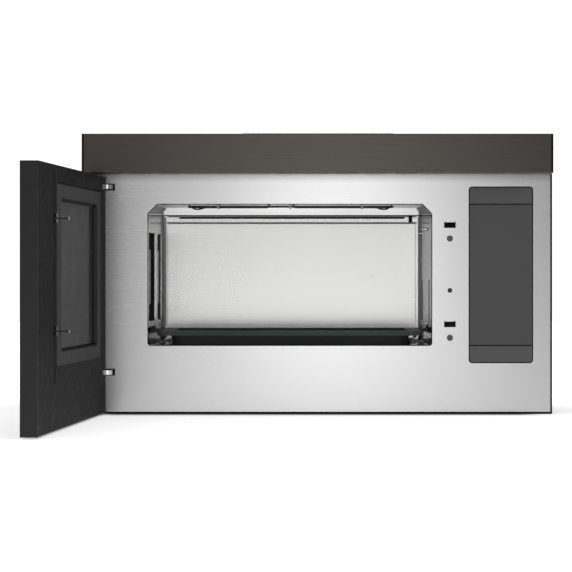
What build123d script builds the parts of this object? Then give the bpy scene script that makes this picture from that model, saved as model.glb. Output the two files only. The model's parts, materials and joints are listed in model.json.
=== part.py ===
from build123d import *
import os
from math import cos, radians, sin

os.makedirs("parts", exist_ok=True)

# Over-the-range microwave oven, in millimetres. +Z is up, the front faces -Y and +X is the viewer's right.
# The origin is on the wall, at the middle of the lower edge of the wall plate.

# Body. Its overall size is that of the oven cavity and the spaces left round it.
LEFT_SPACE = 104.5
RIGHT_SPACE = 194.0
FLOOR_SPACE = 110.0
TOP_SPACE = 112.4
REAR_SPACE = 40.0
SHEET = 1.0
BASE_T = 1.2
WALL_PLATE_T = 2.0
WALL_PLATE_SIDE = 6.0
WALL_PLATE_TOP = 20.0
WALL_PLATE_R = 8.0
LEDGE_X = 250.0
LEDGE_WIDTH = 60.0
LEDGE_Z = (7.0, 13.0)
LEDGE_DEPTH = 14.0
TOUCH = 0.05
FIT_GAP = 0.5
OVERSHOOT = 1.0

# Front: black frame, stainless face, top band
FACE_T = 1.0
FACE_MARGIN = 2.4
FACE_FOOT = 3.4
FRAME_T = 1.5
FRAME_RETURN = 12.0
BAND_HEIGHT = 63.5
BAND_PROUD = 28.0
BAND_WALL = 2.5
BAND_CORNER_R = 4.0
BAND_EDGE_R = 1.5
BAND_GAP = 0.4
BAND_SLOT = (34.0, 9.0)
BAND_SLOT_COUNT = 15

# Oven cavity
CAVITY_WIDTH = 461.0
CAVITY_HEIGHT = 230.0
CAVITY_DEPTH = 335.0
CAVITY_DRAFT = 6.5
CAVITY_CHAMFER = 15.5
CHAMFER_GROWTH = 0.586
CAVITY_FLOOR_R = 5.0
CAVITY_BACK_R = 7.0
SEAM_FRONT_DROP = 18.0
SEAM_BACK_DROP = 12.0
SEAM_GAP = 1.5
SEAM_LAP = 5.0
BACK_PAD_T = 1.5
BACK_PAD_SIDE = 5.0
BACK_PAD_DROP = 26.5
BACK_PAD_R = 6.0
STEAM_SLOT_SIDE = 30.2
STEAM_SLOT_HEIGHT = 2.9
STEAM_SLOT_END = 45.0
BACK_PAD_TAPER = 30.0
STEAM_SLOT_DROP = 16.8

# Floor recess, glass ceramic plate and stirrer
RECESS_SIDE = 55.5
RECESS_FRONT = 50.0
RECESS_REAR = 15.0
RECESS_DEPTH = 16.0
RECESS_LEDGE = 6.0
CERAMIC_T = 4.0
CERAMIC_R = 3.0
STIRRER_R = 60.0
STIRRER_T = 2.0
STIRRER_LIFT = 4.0
STIRRER_SHAFT_R = 2.0
STIRRER_HUB_WALL = 2.0
STIRRER_SLOTS = 3
STIRRER_SLOT_WIDTH = 10.0
STIRRER_MOTOR = (24.0, 18.0)
STIRRER_SHAFT_RISE = 8.0

# Side vents of the cavity and their screens
VENT_LOW = 39.0
VENT_HIGH = 46.0
VENT_R = 3.0
VENT_FRONT = 32.0
VENT_REAR = 13.0
VENT_LENGTHS = (140.0, 94.0)
SCREEN_T = 0.8
SCREEN_WIDTH = 58.0
SCREEN_LAP = 6.0
SCREEN_INSET = 28.0
SCREEN_HOLE_R = 1.9
SCREEN_PITCH = 6.0

# Fittings on the cavity walls
RAIL_T = 4.0
RAIL_HEIGHT = 8.0
RAIL_LENGTH = 180.0
RAIL_RISE = 21.5
RAIL_TIP = 2.0
STUD_R = 2.6
STUD_LENGTH = 5.0
STUD_TOP_DROP = (38.5, 44.0)
STUD_LOW_RISE = (32.5, 34.0)
STUD_REAR = 17.0
SENSOR_R = 3.0
SENSOR_LENGTH = 13.0
SENSOR_SIDE = 19.0
SENSOR_DROP = 12.0
LAMP_R = 24.0
LAMP_T = 2.0
LAMP_HOUSING = 18.0
LAMP_RIM = 3.0
LAMP_SIDE = 120.0
LAMP_REAR = 135.0

# Grill heater
HEATER_R = 1.7
HEATER_DROP = 4.1
HEATER_FRONT = 28.0
HEATER_LOOP = 46.0
HEATER_LEFT = 65.0
HEATER_RIGHT = 63.0
HEATER_BEND_R = 22.0
HEATER_TERMINAL_R = 4.0
HEATER_TERMINALS = (-35.0, 5.0)
HEATER_TAIL = 14.0
CLIP_SPREAD = 117.0
CLIP_WIDTH = 3.0
CLIP_T = 0.8

# Cooking tray
TRAY_SIDE_GAP = 14.0
TRAY_SETBACK = 24.0
TRAY_REAR_GAP = 13.0
TRAY_RIM = 20.0
TRAY_RIM_R = 12.0
TRAY_RIM_T = 2.0
TRAY_SKIRT = 7.6
TRAY_SKIRT_T = 1.8
TRAY_TOP = 23.8
TRAY_WELL_TAPER = 4.5
TRAY_WELL_R = 20.0
TRAY_WALL = 2.5
TRAY_LIFT = 0.3
TRAY_FOOT_R = 3.0
TRAY_FOOT_DROP = 10.5
TRAY_FOOT_INSET = 13.0

# Door
DOOR_BOTTOM = 1.8
DOOR_TOP_GAP = 6.3
DOOR_T = 25.0
DOOR_GAP = 3.0
DOOR_SIDE_OVER = 0.25
DOOR_REST_DEG = 93.2
PIVOT_IN = 19.5
PIVOT_DEPTH = 18.0
HINGE_CORNER_R = 15.0
SHELL_T = 1.5
DOOR_FRONT_WALL = 2.5
TRIM_SIDE = 34.0
TRIM_ENDS = 26.0
FRONT_GLASS_T = 4.0
INNER_T = 4.0
GREY_PANEL_SIDES = (19.75, 11.25)
GREY_PANEL_R = 3.0
GREY_PANEL_ENDS = 16.0
GREY_PANEL_SEAT = 2.5
GREY_PANEL_PROUD = 1.0
GREY_PANEL_TOP_GAP = 2.4
WINDOW_SIDES = (20.25, 32.75)
WINDOW_ENDS = 4.0
WINDOW_DEPTH = 5.4
WINDOW_WALL = 2.0
WINDOW_SLOPE = 4.0
WINDOW_EDGE_T = 0.7
WINDOW_LIP_T = 1.2
PANE_T = 3.0
PANE_LAP = 6.0
SCREEN_SHEET_T = 0.6
CHOKE_WIDTH = 36.0
CHOKE_WALL = 1.0

# Hinges
ARM_HEIGHT = 7.0
ARM_TOP_DROP = 15.6
ARM_LOW_RISE = 65.8
ARM_T = 5.0
ARM_OUT_X = 48.6
ARM_BEND_R = 6.0
ARM_EYE_R = 4.0
ARM_ROOT = 34.0
ARM_BASE = 30.0
ARM_BASE_T = 3.0
ARM_BASE_REACH = (18.0, 8.0)
ARM_SLOT_HEIGHT = 11.0
ARM_SLOT_X = (36.4, 52.0)
ARM_HOLE_GAP = 0.6
ARM_POCKET_U = 52.0
ARM_POCKET_HEIGHT = 11.0
PIN_R = 2.0
PIN_RUN = 0.05
PIN_LENGTH = 26.0
BLOCK_U = (9.0, 31.0)
BLOCK_REACH = (18.0, 14.0)

# Latch
LATCH_FROM_CAVITY = 28.55
HOOK_TOP_DROP = 34.0
HOOK_LOW_RISE = 35.3
HOOK_WIDTH = 11.0
HOOK_T = 1.7
HOOK_REACH = 21.0
HOOK_NOSE_R = 1.8
HOOK_SINK = 0.3
LATCH_SLOT = (18.6, 10.0)
LATCH_SLOT_DROP = (14.5, 0.9)
HOOK_MOUTH = (16.0, 13.0)
LATCH_BAR = (10.0, 4.0)
LATCH_BAR_DEPTH = 7.0
BAR_OVER = 12.0
GUARD_T = 1.2
GUARD_PROUD = 2.7
GUARD_BASE = 1.3
RIB_WIDTH = 1.2
RIB_PROUD = 0.35
RIB_ENDS = (68.2, 10.6)
SPRING_R = 3.4
SPRING_WIRE_R = 0.5
SPRING_PITCH = 3.0
SPRING_LENGTH = 24.0
SPRING_POST = 5.0
GUIDE_WALL = 2.5
GUIDE_LENGTH = 8.0
GUIDE_SPREAD = 80.0
BUMPER_R = 5.0
BUMPER_T = 2.6
BUMPER_EDGE_R = 1.0
BUMPER_DROP = 22.2
SCREW_HOLE_R = 3.4
SCREW_R = 1.7
SCREW_DROP = 25.85
BRACKET_WIDTH = 30.0
BRACKET_DEPTH = 28.0
BRACKET_WALL = 2.0
BRACKET_OVER = 26.0
SWITCH_HEIGHT = 10.0
SWITCH_DEPTH = (12.0, 27.0)
SWITCH_OFFSET = 15.0

# Control module cover
MODULE_FROM_LATCH = 32.0
MODULE_MARGIN = 32.35
MODULE_LOW_DROP = 26.4
MODULE_TOP_DROP = 22.6
MODULE_R = 4.0
MODULE_T = 1.2
MODULE_CAP = 27.0
MODULE_SPLIT = 1.8
MODULE_GAP = 1.7

# Exhaust, blower and filters
DUCT_WIDTH = 254.0
DUCT_LENGTH = 82.5
DUCT_Y = 85.0
COLLAR_HEIGHT = 12.0
COLLAR_FLANGE = 14.0
FLAP_T = 1.0
FLAP_CLEAR = 2.0
FLAP_PIN_R = 1.5
BLOWER_R = 49.0
BLOWER_DROP = 56.4
BLOWER_END_GAP = 5.0
BLOWER_INLET_R = 31.5
WHEEL_R = 42.0
WHEEL_BORE_R = 3.0
WHEEL_HUB_R = 12.0
WHEEL_HUB_LENGTH = 10.0
WHEEL_RING_T = 2.0
WHEEL_LENGTH = 78.0
WHEEL_BLADES = 14
WHEEL_BLADE_T = 1.2
WHEEL_BLADE_DEPTH = 9.0
BLOWER_MOTOR_R = 34.0
BLOWER_MOTOR_CAN_R = 28.0
BLOWER_MOTOR_LENGTH = 74.0
WHEEL_GAP = 4.0
FOOT_HALF = 10.0
CHARCOAL_SIDE = 40.0
CHARCOAL_T = 18.0
CHARCOAL_HEIGHT = 84.0
CHARCOAL_DROP = 28.0
CHARCOAL_CELLS = 8
CHARCOAL_FRAME = 6.0
CHARCOAL_CELL_DEPTH = 2.5
FILTER_SIDE = 42.0
FILTER_LENGTH = 124.0
FILTER_T = 8.0
FILTER_REAR = 60.0
FILTER_FRAME = 7.0
FILTER_CLEAR = 1.0
FILTER_HOLE_R = 5.0
FILTER_PITCH = 14.0
FILTER_SHEET = (2.0, 4.0)
FINGER_NOTCH = (28.0, 4.0)
COOKTOP_LAMP = (88.0, 46.0)
COOKTOP_LAMP_FRONT = 85.0
COOKTOP_LAMP_R = 4.0

# Electrical parts
GUIDE_WIDTH = 90.0
GUIDE_HEIGHT = 40.0
GUIDE_OVER = 47.5
MAGNETRON = (82.0, 86.0, 92.0)
MAGNETRON_SIDE = 51.75
MAGNETRON_FINS = 7
MAGNETRON_CORE_R = 20.0
MAGNETRON_CAPS = (14.0, 22.0)
MAGNETRON_WALL = 3.0
MAGNETRON_ANTENNA = (8.0, 24.0)
ANTENNA_HOLE_R = 11.0
FAN_SIZE = 96.0
FAN_T = 28.0
FAN_SIDE = 77.75
FAN_RIM = 3.0
FAN_ARM = (8.0, 4.0)
FAN_MOTOR = (17.0, 10.0)
FAN_BLADE = (38.0, 20.0, 1.5)
FAN_BLADE_AT = 34.0
FAN_TILT = 25.0
FAN_Z = 152.0
FAN_HUB_R = 16.0
FAN_BLADES = 7
FAN_SHAFT_R = 2.0
CONVECTION_SHARE = 0.42
CONVECTION_DEPTH = 22.0
CONVECTION_LAP = (12.0, 8.0, 10.0)
CONVECTION_GAP = 8.0
CONVECTION_HUB = (9.0, 14.0)
CONVECTION_DISC_T = 2.0
CONVECTION_BLADE_T = 1.5
CONVECTION_BLADES = 16
CONVECTION_SIDE = 49.75
CONVECTION_MOTOR = (28.0, 34.0)
CONVECTION_FLANGE_T = 6.0
SHAFT_R = 3.0
BOARD_T = 1.6
BOARD_LIFT = 10.0
BOARD_POST_R = 3.0
BOARD_POST_IN = 8.0
INVERTER_SIDES = (42.25, 13.75)
INVERTER_FRONT = (24.0, 116.0)
HEAT_SINK = (26.0, 36.0)
TRANSFORMER = (42.0, 42.0, 38.0)
TRANSFORMER_AT = (52.0, 20.0)
CAPACITOR = (11.0, 32.0)
CAPACITOR_AT = (21.0, 30.0, 62.0)
CONTROL_LIFT = 6.0
CONTROL_ENDS = 12.0
CONTROL_SIDES = 4.0
RELAY = (30.0, 16.0, 40.0)
CHIP = (24.0, 10.0, 80.0)

# Outside fixings
STUD_SPAN_X = 406.4
WALL_SPAN_DROP = 138.4
WALL_HOLE_R = 3.6
WALL_HEAD_R = 9.0
WALL_HOLE_DROP = 6.2
WALL_WINDOW_WIDTH = 150.0
WALL_WINDOW_DROP = 198.4
CABINET_SPAN = 610.0
CABINET_HOLE_R = 3.6
CABINET_HOLE_Y = 190.0
CABINET_BAR = (30.0, 4.0)
CORD_SIDE = 54.75
CORD_Y = 60.0
CORD_R = 5.5
BUSHING_R = 12.0
BUSHING_GROOVE = 2.0
BUSHING_T = 3.0
CASE_SCREW_SIDE = 29.75
CASE_SCREW_ENDS = (14.0, 30.0)
CASE_SCREW_R = 3.6
CASE_SCREW_T = 1.6
SIDE_SLOT = (34.0, 3.0)
SIDE_SLOT_ROWS = 9
SIDE_SLOT_PITCH = 8.0
SIDE_SLOT_Z = 168.0

# Values that follow from the sizes above
BODY_WIDTH = LEFT_SPACE + CAVITY_WIDTH + RIGHT_SPACE
BODY_HEIGHT = FLOOR_SPACE + CAVITY_HEIGHT + TOP_SPACE
BODY_DEPTH = CAVITY_DEPTH + REAR_SPACE
HALF = BODY_WIDTH / 2
FACE_Y = -BODY_DEPTH
PANEL_BACK = FACE_Y + FACE_T
FRAME_BACK = PANEL_BACK + FRAME_T
RETURN_Y = FACE_Y + FRAME_RETURN
REAR_Y = -WALL_PLATE_T - SHEET
BAND_Z = BODY_HEIGHT - BAND_HEIGHT
CAVITY_BOTTOM = FLOOR_SPACE
CAVITY_TOP = CAVITY_BOTTOM + CAVITY_HEIGHT
CAVITY_BACK = FACE_Y + CAVITY_DEPTH
CAVITY_LEFT = -HALF + LEFT_SPACE
CAVITY_RIGHT = CAVITY_LEFT + CAVITY_WIDTH
CAVITY_X = (CAVITY_LEFT + CAVITY_RIGHT) / 2
BACK_WIDTH = CAVITY_WIDTH - 2 * CAVITY_DRAFT
SEAM_FRONT = CAVITY_HEIGHT - SEAM_FRONT_DROP
SEAM_BACK = CAVITY_HEIGHT - SEAM_BACK_DROP
RECESS_Z = CAVITY_BOTTOM - RECESS_DEPTH
GUIDE_TOP = RECESS_Z - SHEET
STIRRER_Y = (FACE_Y + RECESS_FRONT + CAVITY_BACK - RECESS_REAR) / 2
VENT_BOTTOM = CAVITY_BOTTOM + VENT_LOW
VENT_HEIGHT = CAVITY_HEIGHT - VENT_LOW - VENT_HIGH
VENTS = (
    (VENT_FRONT, VENT_FRONT + VENT_LENGTHS[0]),
    (CAVITY_DEPTH - VENT_REAR - VENT_LENGTHS[1], CAVITY_DEPTH - VENT_REAR),
)
SCREEN_BOTTOM = VENT_BOTTOM + SCREEN_INSET
SCREEN_HEIGHT = VENT_HEIGHT - 2 * SCREEN_INSET
STUD_PLACES = (
    (CAVITY_DEPTH / 2, CAVITY_HEIGHT - STUD_TOP_DROP[0]),
    (CAVITY_DEPTH / 2, STUD_LOW_RISE[0]),
    (CAVITY_DEPTH - STUD_REAR, CAVITY_HEIGHT - STUD_TOP_DROP[1]),
    (CAVITY_DEPTH - STUD_REAR, STUD_LOW_RISE[1]),
)
LAMP_X = CAVITY_X + LAMP_SIDE
LAMP_Y = CAVITY_BACK - LAMP_REAR
TRAY_RIM_WIDTH = CAVITY_WIDTH - 2 * TRAY_SIDE_GAP
TRAY_RIM_LENGTH = CAVITY_DEPTH - TRAY_SETBACK - TRAY_REAR_GAP
DOOR_WIDTH = BODY_WIDTH + 2 * DOOR_SIDE_OVER
DOOR_HEIGHT = BAND_Z - DOOR_TOP_GAP - DOOR_BOTTOM
DOOR_TOP = DOOR_BOTTOM + DOOR_HEIGHT
PIVOT_X = -DOOR_WIDTH / 2 + PIVOT_IN
PIVOT_Y = FACE_Y - DOOR_GAP - PIVOT_DEPTH
WALL_BACK = DOOR_T - DOOR_FRONT_WALL
CAVITY_U = (CAVITY_LEFT + DOOR_WIDTH / 2, CAVITY_RIGHT + DOOR_WIDTH / 2)
GREY_PANEL_U = (CAVITY_U[0] - GREY_PANEL_SIDES[0], CAVITY_U[1] + GREY_PANEL_SIDES[1])
GREY_PANEL_Z = (CAVITY_BOTTOM - GREY_PANEL_ENDS, CAVITY_TOP + GREY_PANEL_ENDS)
WINDOW_U = (CAVITY_U[0] + WINDOW_SIDES[0], CAVITY_U[1] - WINDOW_SIDES[1])
WINDOW_Z = (CAVITY_BOTTOM + WINDOW_ENDS, CAVITY_TOP - WINDOW_ENDS)
ARM_Z = (DOOR_TOP - ARM_TOP_DROP, DOOR_BOTTOM + ARM_LOW_RISE)
LATCH_X = CAVITY_RIGHT + LATCH_FROM_CAVITY
LATCH_U = LATCH_X + DOOR_WIDTH / 2
RIB_Z = (DOOR_BOTTOM + RIB_ENDS[0], DOOR_TOP - RIB_ENDS[1])
HOOK_Z = (CAVITY_TOP - HOOK_TOP_DROP, CAVITY_BOTTOM + HOOK_LOW_RISE)
SCREW_Z = sum(HOOK_Z) / 2 - SCREW_DROP
MODULE_X = (LATCH_X + MODULE_FROM_LATCH, HALF - MODULE_MARGIN)
MODULE_Z = (CAVITY_BOTTOM - MODULE_LOW_DROP, BAND_Z - MODULE_TOP_DROP)
BLOWER_Z = BODY_HEIGHT - BLOWER_DROP
FILTER_WIDTH = HALF - 2 * FILTER_SIDE
FILTER_X = HALF / 2
COOKTOP_LAMP_X = HALF / 2
COOKTOP_LAMP_Y = BODY_DEPTH - COOKTOP_LAMP_FRONT
MAGNETRON_X = CAVITY_RIGHT + MAGNETRON_SIDE
GUIDE_END_X = MAGNETRON_X + GUIDE_OVER
FAN_X = HALF - FAN_SIDE
CONVECTION_BOX_X = -HALF + CONVECTION_SIDE
CONVECTION_R = VENT_HEIGHT * CONVECTION_SHARE
WALL_SPAN_Z = BODY_HEIGHT - WALL_SPAN_DROP
WALL_HOLE_Z = BODY_HEIGHT / 2 - WALL_HOLE_DROP
CORD_X = HALF - CORD_SIDE
SCREW_PLACES = [
    (x, y)
    for y in (CASE_SCREW_ENDS[0], BODY_DEPTH - CASE_SCREW_ENDS[1])
    for x in (-HALF + CASE_SCREW_SIDE, 0, HALF - CASE_SCREW_SIDE)
]


def front_plane(y):
    """An upright plane at y whose drawing shows X and Z, and whose normal faces the front."""
    return Plane.XZ.offset(-y)


def span_box(x, y, z, mode=Mode.ADD):
    """Add or cut a box given by its limits along X, Y and Z."""
    with Locations(((x[0] + x[1]) / 2, (y[0] + y[1]) / 2, (z[0] + z[1]) / 2)):
        Box(abs(x[1] - x[0]), abs(y[1] - y[0]), abs(z[1] - z[0]), mode=mode)


def rod(axis, centre, radius, length, mode=Mode.ADD):
    """Add or cut a cylinder whose middle is at centre and which lies along X, Y or Z."""
    turn = {"X": (0, 90, 0), "Y": (90, 0, 0), "Z": (0, 0, 0)}[axis]
    with Locations(centre):
        Cylinder(radius, length, rotation=turn, mode=mode)


def save(piece, name):
    """Label a finished piece and write its file."""
    piece.part.label = name
    export_step(piece.part, f"parts/{name}.step")


# The door is drawn on a plane that carries its rest angle: u runs from the hinge end, v from the inner face.
TURN = radians(-DOOR_REST_DEG)
DOOR_U = Vector(cos(TURN), sin(TURN), 0)
DOOR_V = Vector(sin(TURN), -cos(TURN), 0)
DOOR = Plane(
    origin=Vector(PIVOT_X, PIVOT_Y, 0) - DOOR_U * PIVOT_IN - DOOR_V * PIVOT_DEPTH,
    x_dir=DOOR_U,
    z_dir=DOOR_V,
)
DOOR_PLAN = Plane(origin=DOOR.origin, x_dir=DOOR_U, z_dir=(0, 0, 1))


def door_box(u, v, z, mode=Mode.ADD):
    """Add or cut a box given by its limits across the door, through it and upwards."""
    with BuildSketch(DOOR.offset(v[0])) as outline:
        with Locations(((u[0] + u[1]) / 2, (z[0] + z[1]) / 2)):
            Rectangle(u[1] - u[0], z[1] - z[0])
    extrude(outline.sketch, amount=v[1] - v[0], mode=mode)


def door_pin(z, radius, mode=Mode.SUBTRACT):
    """Add or cut an upright cylinder on the door's pivot."""
    with BuildSketch(DOOR_PLAN.offset(z[0])) as outline:
        with Locations((PIVOT_IN, -PIVOT_DEPTH)):
            Circle(radius)
    extrude(outline.sketch, amount=z[1] - z[0], mode=mode)


# Oven cavity. One block serves as the air space, the sheet round it and what hugs that sheet.
def cavity_outline(grow):
    """The cavity's front section, with chamfered top corners."""
    with Locations((CAVITY_X, CAVITY_BOTTOM + CAVITY_HEIGHT / 2)):
        Rectangle(CAVITY_WIDTH + 2 * grow, CAVITY_HEIGHT + 2 * grow)
    chamfer(vertices().group_by(Axis.Y)[-1], CAVITY_CHAMFER + CHAMFER_GROWTH * grow)


def cavity_block(grow):
    """A solid the size of the cavity with drafted sides, larger by grow on every side but the front."""
    with BuildPart() as block:
        with BuildSketch(front_plane(PANEL_BACK)):
            cavity_outline(grow)
        extrude(amount=PANEL_BACK - CAVITY_BACK - grow)
        with BuildSketch(Plane.XY.offset(CAVITY_BOTTOM - grow)):
            with BuildLine():
                Polyline(
                    (CAVITY_LEFT - grow, PANEL_BACK),
                    (CAVITY_RIGHT + grow, PANEL_BACK),
                    (CAVITY_RIGHT + grow - CAVITY_DRAFT, CAVITY_BACK + grow),
                    (CAVITY_LEFT - grow + CAVITY_DRAFT, CAVITY_BACK + grow),
                    close=True,
                )
            make_face()
            fillet(vertices().group_by(Axis.Y)[-1], CAVITY_BACK_R + grow)
        extrude(amount=CAVITY_HEIGHT + 2 * grow, mode=Mode.INTERSECT)
        floor_edges = block.faces().sort_by(Axis.Z)[0].edges().sort_by(Axis.Y)
        fillet(floor_edges[1:], CAVITY_FLOOR_R + grow)
    return block.part


CAVITY_AIR = cavity_block(0)
CAVITY_SKIN = cavity_block(SHEET)
CAVITY_WRAP = cavity_block(2 * SHEET)
SCREEN_SKIN = cavity_block(SHEET + SCREEN_T)
SEAM_RUN = Vector(0, CAVITY_DEPTH, SEAM_BACK - SEAM_FRONT).normalized()
SEAM = Plane(
    origin=(0, FACE_Y, CAVITY_BOTTOM + SEAM_FRONT),
    x_dir=(1, 0, 0),
    z_dir=(0, -SEAM_RUN.Z, SEAM_RUN.Y),
)


def steam_slot(depth):
    """Cut the long slot in the back wall, with its slanted ends, to that depth behind the wall."""
    with BuildSketch(front_plane(CAVITY_BACK)) as outline:
        with Locations((CAVITY_X, CAVITY_TOP - STEAM_SLOT_DROP)):
            Trapezoid(BACK_WIDTH - 2 * STEAM_SLOT_SIDE, STEAM_SLOT_HEIGHT, STEAM_SLOT_END)
    extrude(outline.sketch, amount=-depth, both=True, mode=Mode.SUBTRACT)


with BuildPart() as seam_gasket:
    add(CAVITY_WRAP)
    add(CAVITY_SKIN, mode=Mode.SUBTRACT)
    split(bisect_by=SEAM.offset(SEAM_LAP), keep=Keep.BOTTOM)
    split(bisect_by=SEAM.offset(-SEAM_GAP - SEAM_LAP), keep=Keep.TOP)
    steam_slot(3 * SHEET)
save(seam_gasket, "seam_gasket")

with BuildPart() as cavity_ceiling:
    add(CAVITY_SKIN)
    add(CAVITY_AIR, mode=Mode.SUBTRACT)
    split(bisect_by=SEAM, keep=Keep.TOP)
    with BuildSketch(Plane.XY.offset(CAVITY_TOP - SHEET)):
        with Locations(*[(CAVITY_X + x, FACE_Y + HEATER_FRONT + HEATER_LOOP) for x in HEATER_TERMINALS]):
            Circle(HEATER_R + FIT_GAP)
        with Locations((LAMP_X, LAMP_Y)):
            Circle(LAMP_R)
    extrude(amount=3 * SHEET, mode=Mode.SUBTRACT)
save(cavity_ceiling, "cavity_ceiling")

recess_x = (CAVITY_LEFT + RECESS_SIDE, CAVITY_RIGHT - RECESS_SIDE)
recess_y = (FACE_Y + RECESS_FRONT, CAVITY_BACK - RECESS_REAR)


def shrink(limits, amount):
    """Limits moved in by amount at both ends."""
    return (limits[0] + amount, limits[1] - amount)


with BuildPart() as cavity_liner:
    add(CAVITY_SKIN)
    add(CAVITY_AIR, mode=Mode.SUBTRACT)
    split(bisect_by=SEAM.offset(-SEAM_GAP), keep=Keep.BOTTOM)
    ledge_z = CAVITY_BOTTOM - CERAMIC_T
    span_box(shrink(recess_x, -SHEET), shrink(recess_y, -SHEET), (ledge_z - SHEET, CAVITY_BOTTOM))
    well_x = shrink(recess_x, RECESS_LEDGE)
    well_y = shrink(recess_y, RECESS_LEDGE)
    span_box(shrink(well_x, -SHEET), shrink(well_y, -SHEET), (GUIDE_TOP, ledge_z))
    span_box(recess_x, recess_y, (ledge_z, CAVITY_BOTTOM + SHEET), Mode.SUBTRACT)
    span_box(well_x, well_y, (RECESS_Z, CAVITY_BOTTOM), Mode.SUBTRACT)
    rod("Z", (CAVITY_X, STIRRER_Y, RECESS_Z), STIRRER_R / 2, 4 * SHEET, Mode.SUBTRACT)
    pad_z = (CAVITY_BOTTOM + CAVITY_FLOOR_R, CAVITY_TOP - BACK_PAD_DROP)
    pad_width = BACK_WIDTH - 2 * CAVITY_BACK_R - BACK_PAD_SIDE
    with BuildSketch(front_plane(CAVITY_BACK)):
        with Locations((CAVITY_X, sum(pad_z) / 2)):
            RectangleRounded(pad_width, pad_z[1] - pad_z[0], BACK_PAD_R)
    extrude(amount=BACK_PAD_T, taper=BACK_PAD_TAPER)
    steam_slot(2 * SHEET)
    for near, far in VENTS:
        with BuildSketch(Plane.YZ.offset(CAVITY_LEFT)):
            with Locations((FACE_Y + (near + far) / 2, VENT_BOTTOM + VENT_HEIGHT / 2)):
                RectangleRounded(far - near, VENT_HEIGHT, VENT_R)
        extrude(amount=CAVITY_DRAFT + 2 * SHEET, both=True, mode=Mode.SUBTRACT)
save(cavity_liner, "cavity_liner")

screen_shift = FACE_Y - SCREEN_LAP + SCREEN_WIDTH / 2
screen_places = [(near + screen_shift, SCREEN_BOTTOM + SCREEN_HEIGHT / 2) for near, far in VENTS]
with BuildPart() as vent_screens:
    add(SCREEN_SKIN)
    add(CAVITY_SKIN, mode=Mode.SUBTRACT)
    with BuildSketch(Plane.YZ.offset(CAVITY_LEFT)) as plates:
        for place in screen_places:
            with Locations(place):
                RectangleRounded(SCREEN_WIDTH, SCREEN_HEIGHT, VENT_R)
    extrude(amount=2 * CAVITY_DRAFT, both=True, mode=Mode.INTERSECT)
    with BuildSketch(Plane.YZ.offset(CAVITY_LEFT)):
        for place in screen_places:
            with Locations(place):
                columns = int((SCREEN_WIDTH - 2 * SCREEN_LAP) / SCREEN_PITCH)
                rows = int((SCREEN_HEIGHT - 4 * SCREEN_LAP) / SCREEN_PITCH)
                with GridLocations(SCREEN_PITCH, SCREEN_PITCH, columns, rows):
                    Circle(SCREEN_HOLE_R)
    extrude(amount=2 * CAVITY_DRAFT, both=True, mode=Mode.SUBTRACT)
save(vent_screens, "vent_screens")

with BuildPart() as floor_plate:
    plate_x = shrink(recess_x, FIT_GAP)
    plate_y = shrink(recess_y, FIT_GAP)
    span_box(plate_x, plate_y, (CAVITY_BOTTOM - CERAMIC_T, CAVITY_BOTTOM))
    fillet(floor_plate.edges().filter_by(Axis.Z), CERAMIC_R)
save(floor_plate, "floor_plate")

# Fittings on the cavity walls, cut to the walls' own slope
rail_z = (CAVITY_BOTTOM + RAIL_RISE, CAVITY_BOTTOM + RAIL_RISE + RAIL_HEIGHT)
with BuildPart() as tray_rails:
    with BuildSketch(Plane.YZ.offset(CAVITY_X)):
        with BuildLine():
            Polyline(
                (PANEL_BACK + RAIL_TIP, rail_z[0]),
                (FACE_Y + RAIL_LENGTH, rail_z[0] + RAIL_HEIGHT / 2),
                (FACE_Y + RAIL_LENGTH - RAIL_HEIGHT, rail_z[1]),
                (PANEL_BACK + RAIL_TIP, rail_z[1]),
                close=True,
            )
        make_face()
    extrude(amount=CAVITY_WIDTH, both=True)
    add(CAVITY_AIR, mode=Mode.INTERSECT)
    inner = shrink((CAVITY_LEFT, CAVITY_RIGHT), RAIL_T)
    span_box(inner, (FACE_Y, CAVITY_BACK), (CAVITY_BOTTOM, CAVITY_TOP), Mode.SUBTRACT)
save(tray_rails, "tray_rails")

stud_span = 2 * (STUD_LENGTH + CAVITY_DRAFT)
with BuildPart() as wall_studs:
    for depth, rise in STUD_PLACES:
        rod("X", (CAVITY_RIGHT, FACE_Y + depth, CAVITY_BOTTOM + rise), STUD_R, stud_span)
    add(CAVITY_AIR, mode=Mode.INTERSECT)
save(wall_studs, "wall_studs")

sensor_top = CAVITY_TOP - SENSOR_DROP
sensor_x = CAVITY_X + BACK_WIDTH / 2 - SENSOR_SIDE
sensor_y = CAVITY_BACK - 2 * SENSOR_R
with BuildPart() as temperature_sensor:
    rod("Z", (sensor_x, sensor_y, sensor_top - SENSOR_LENGTH / 2), SENSOR_R, SENSOR_LENGTH)
    fillet(temperature_sensor.edges().filter_by(GeomType.CIRCLE), SENSOR_R / 2)
    bracket_z = (sensor_top - SENSOR_R, sensor_top)
    span_box((sensor_x - SENSOR_R, sensor_x + SENSOR_R), (sensor_y, CAVITY_BACK), bracket_z)
save(temperature_sensor, "temperature_sensor")

with BuildPart() as cavity_lamp:
    rod("Z", (LAMP_X, LAMP_Y, CAVITY_TOP + LAMP_T / 2), LAMP_R - FIT_GAP, LAMP_T)
    rod("Z", (LAMP_X, LAMP_Y, CAVITY_TOP + LAMP_T + LAMP_HOUSING / 2), LAMP_R + LAMP_RIM, LAMP_HOUSING)
save(cavity_lamp, "cavity_lamp")

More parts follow.
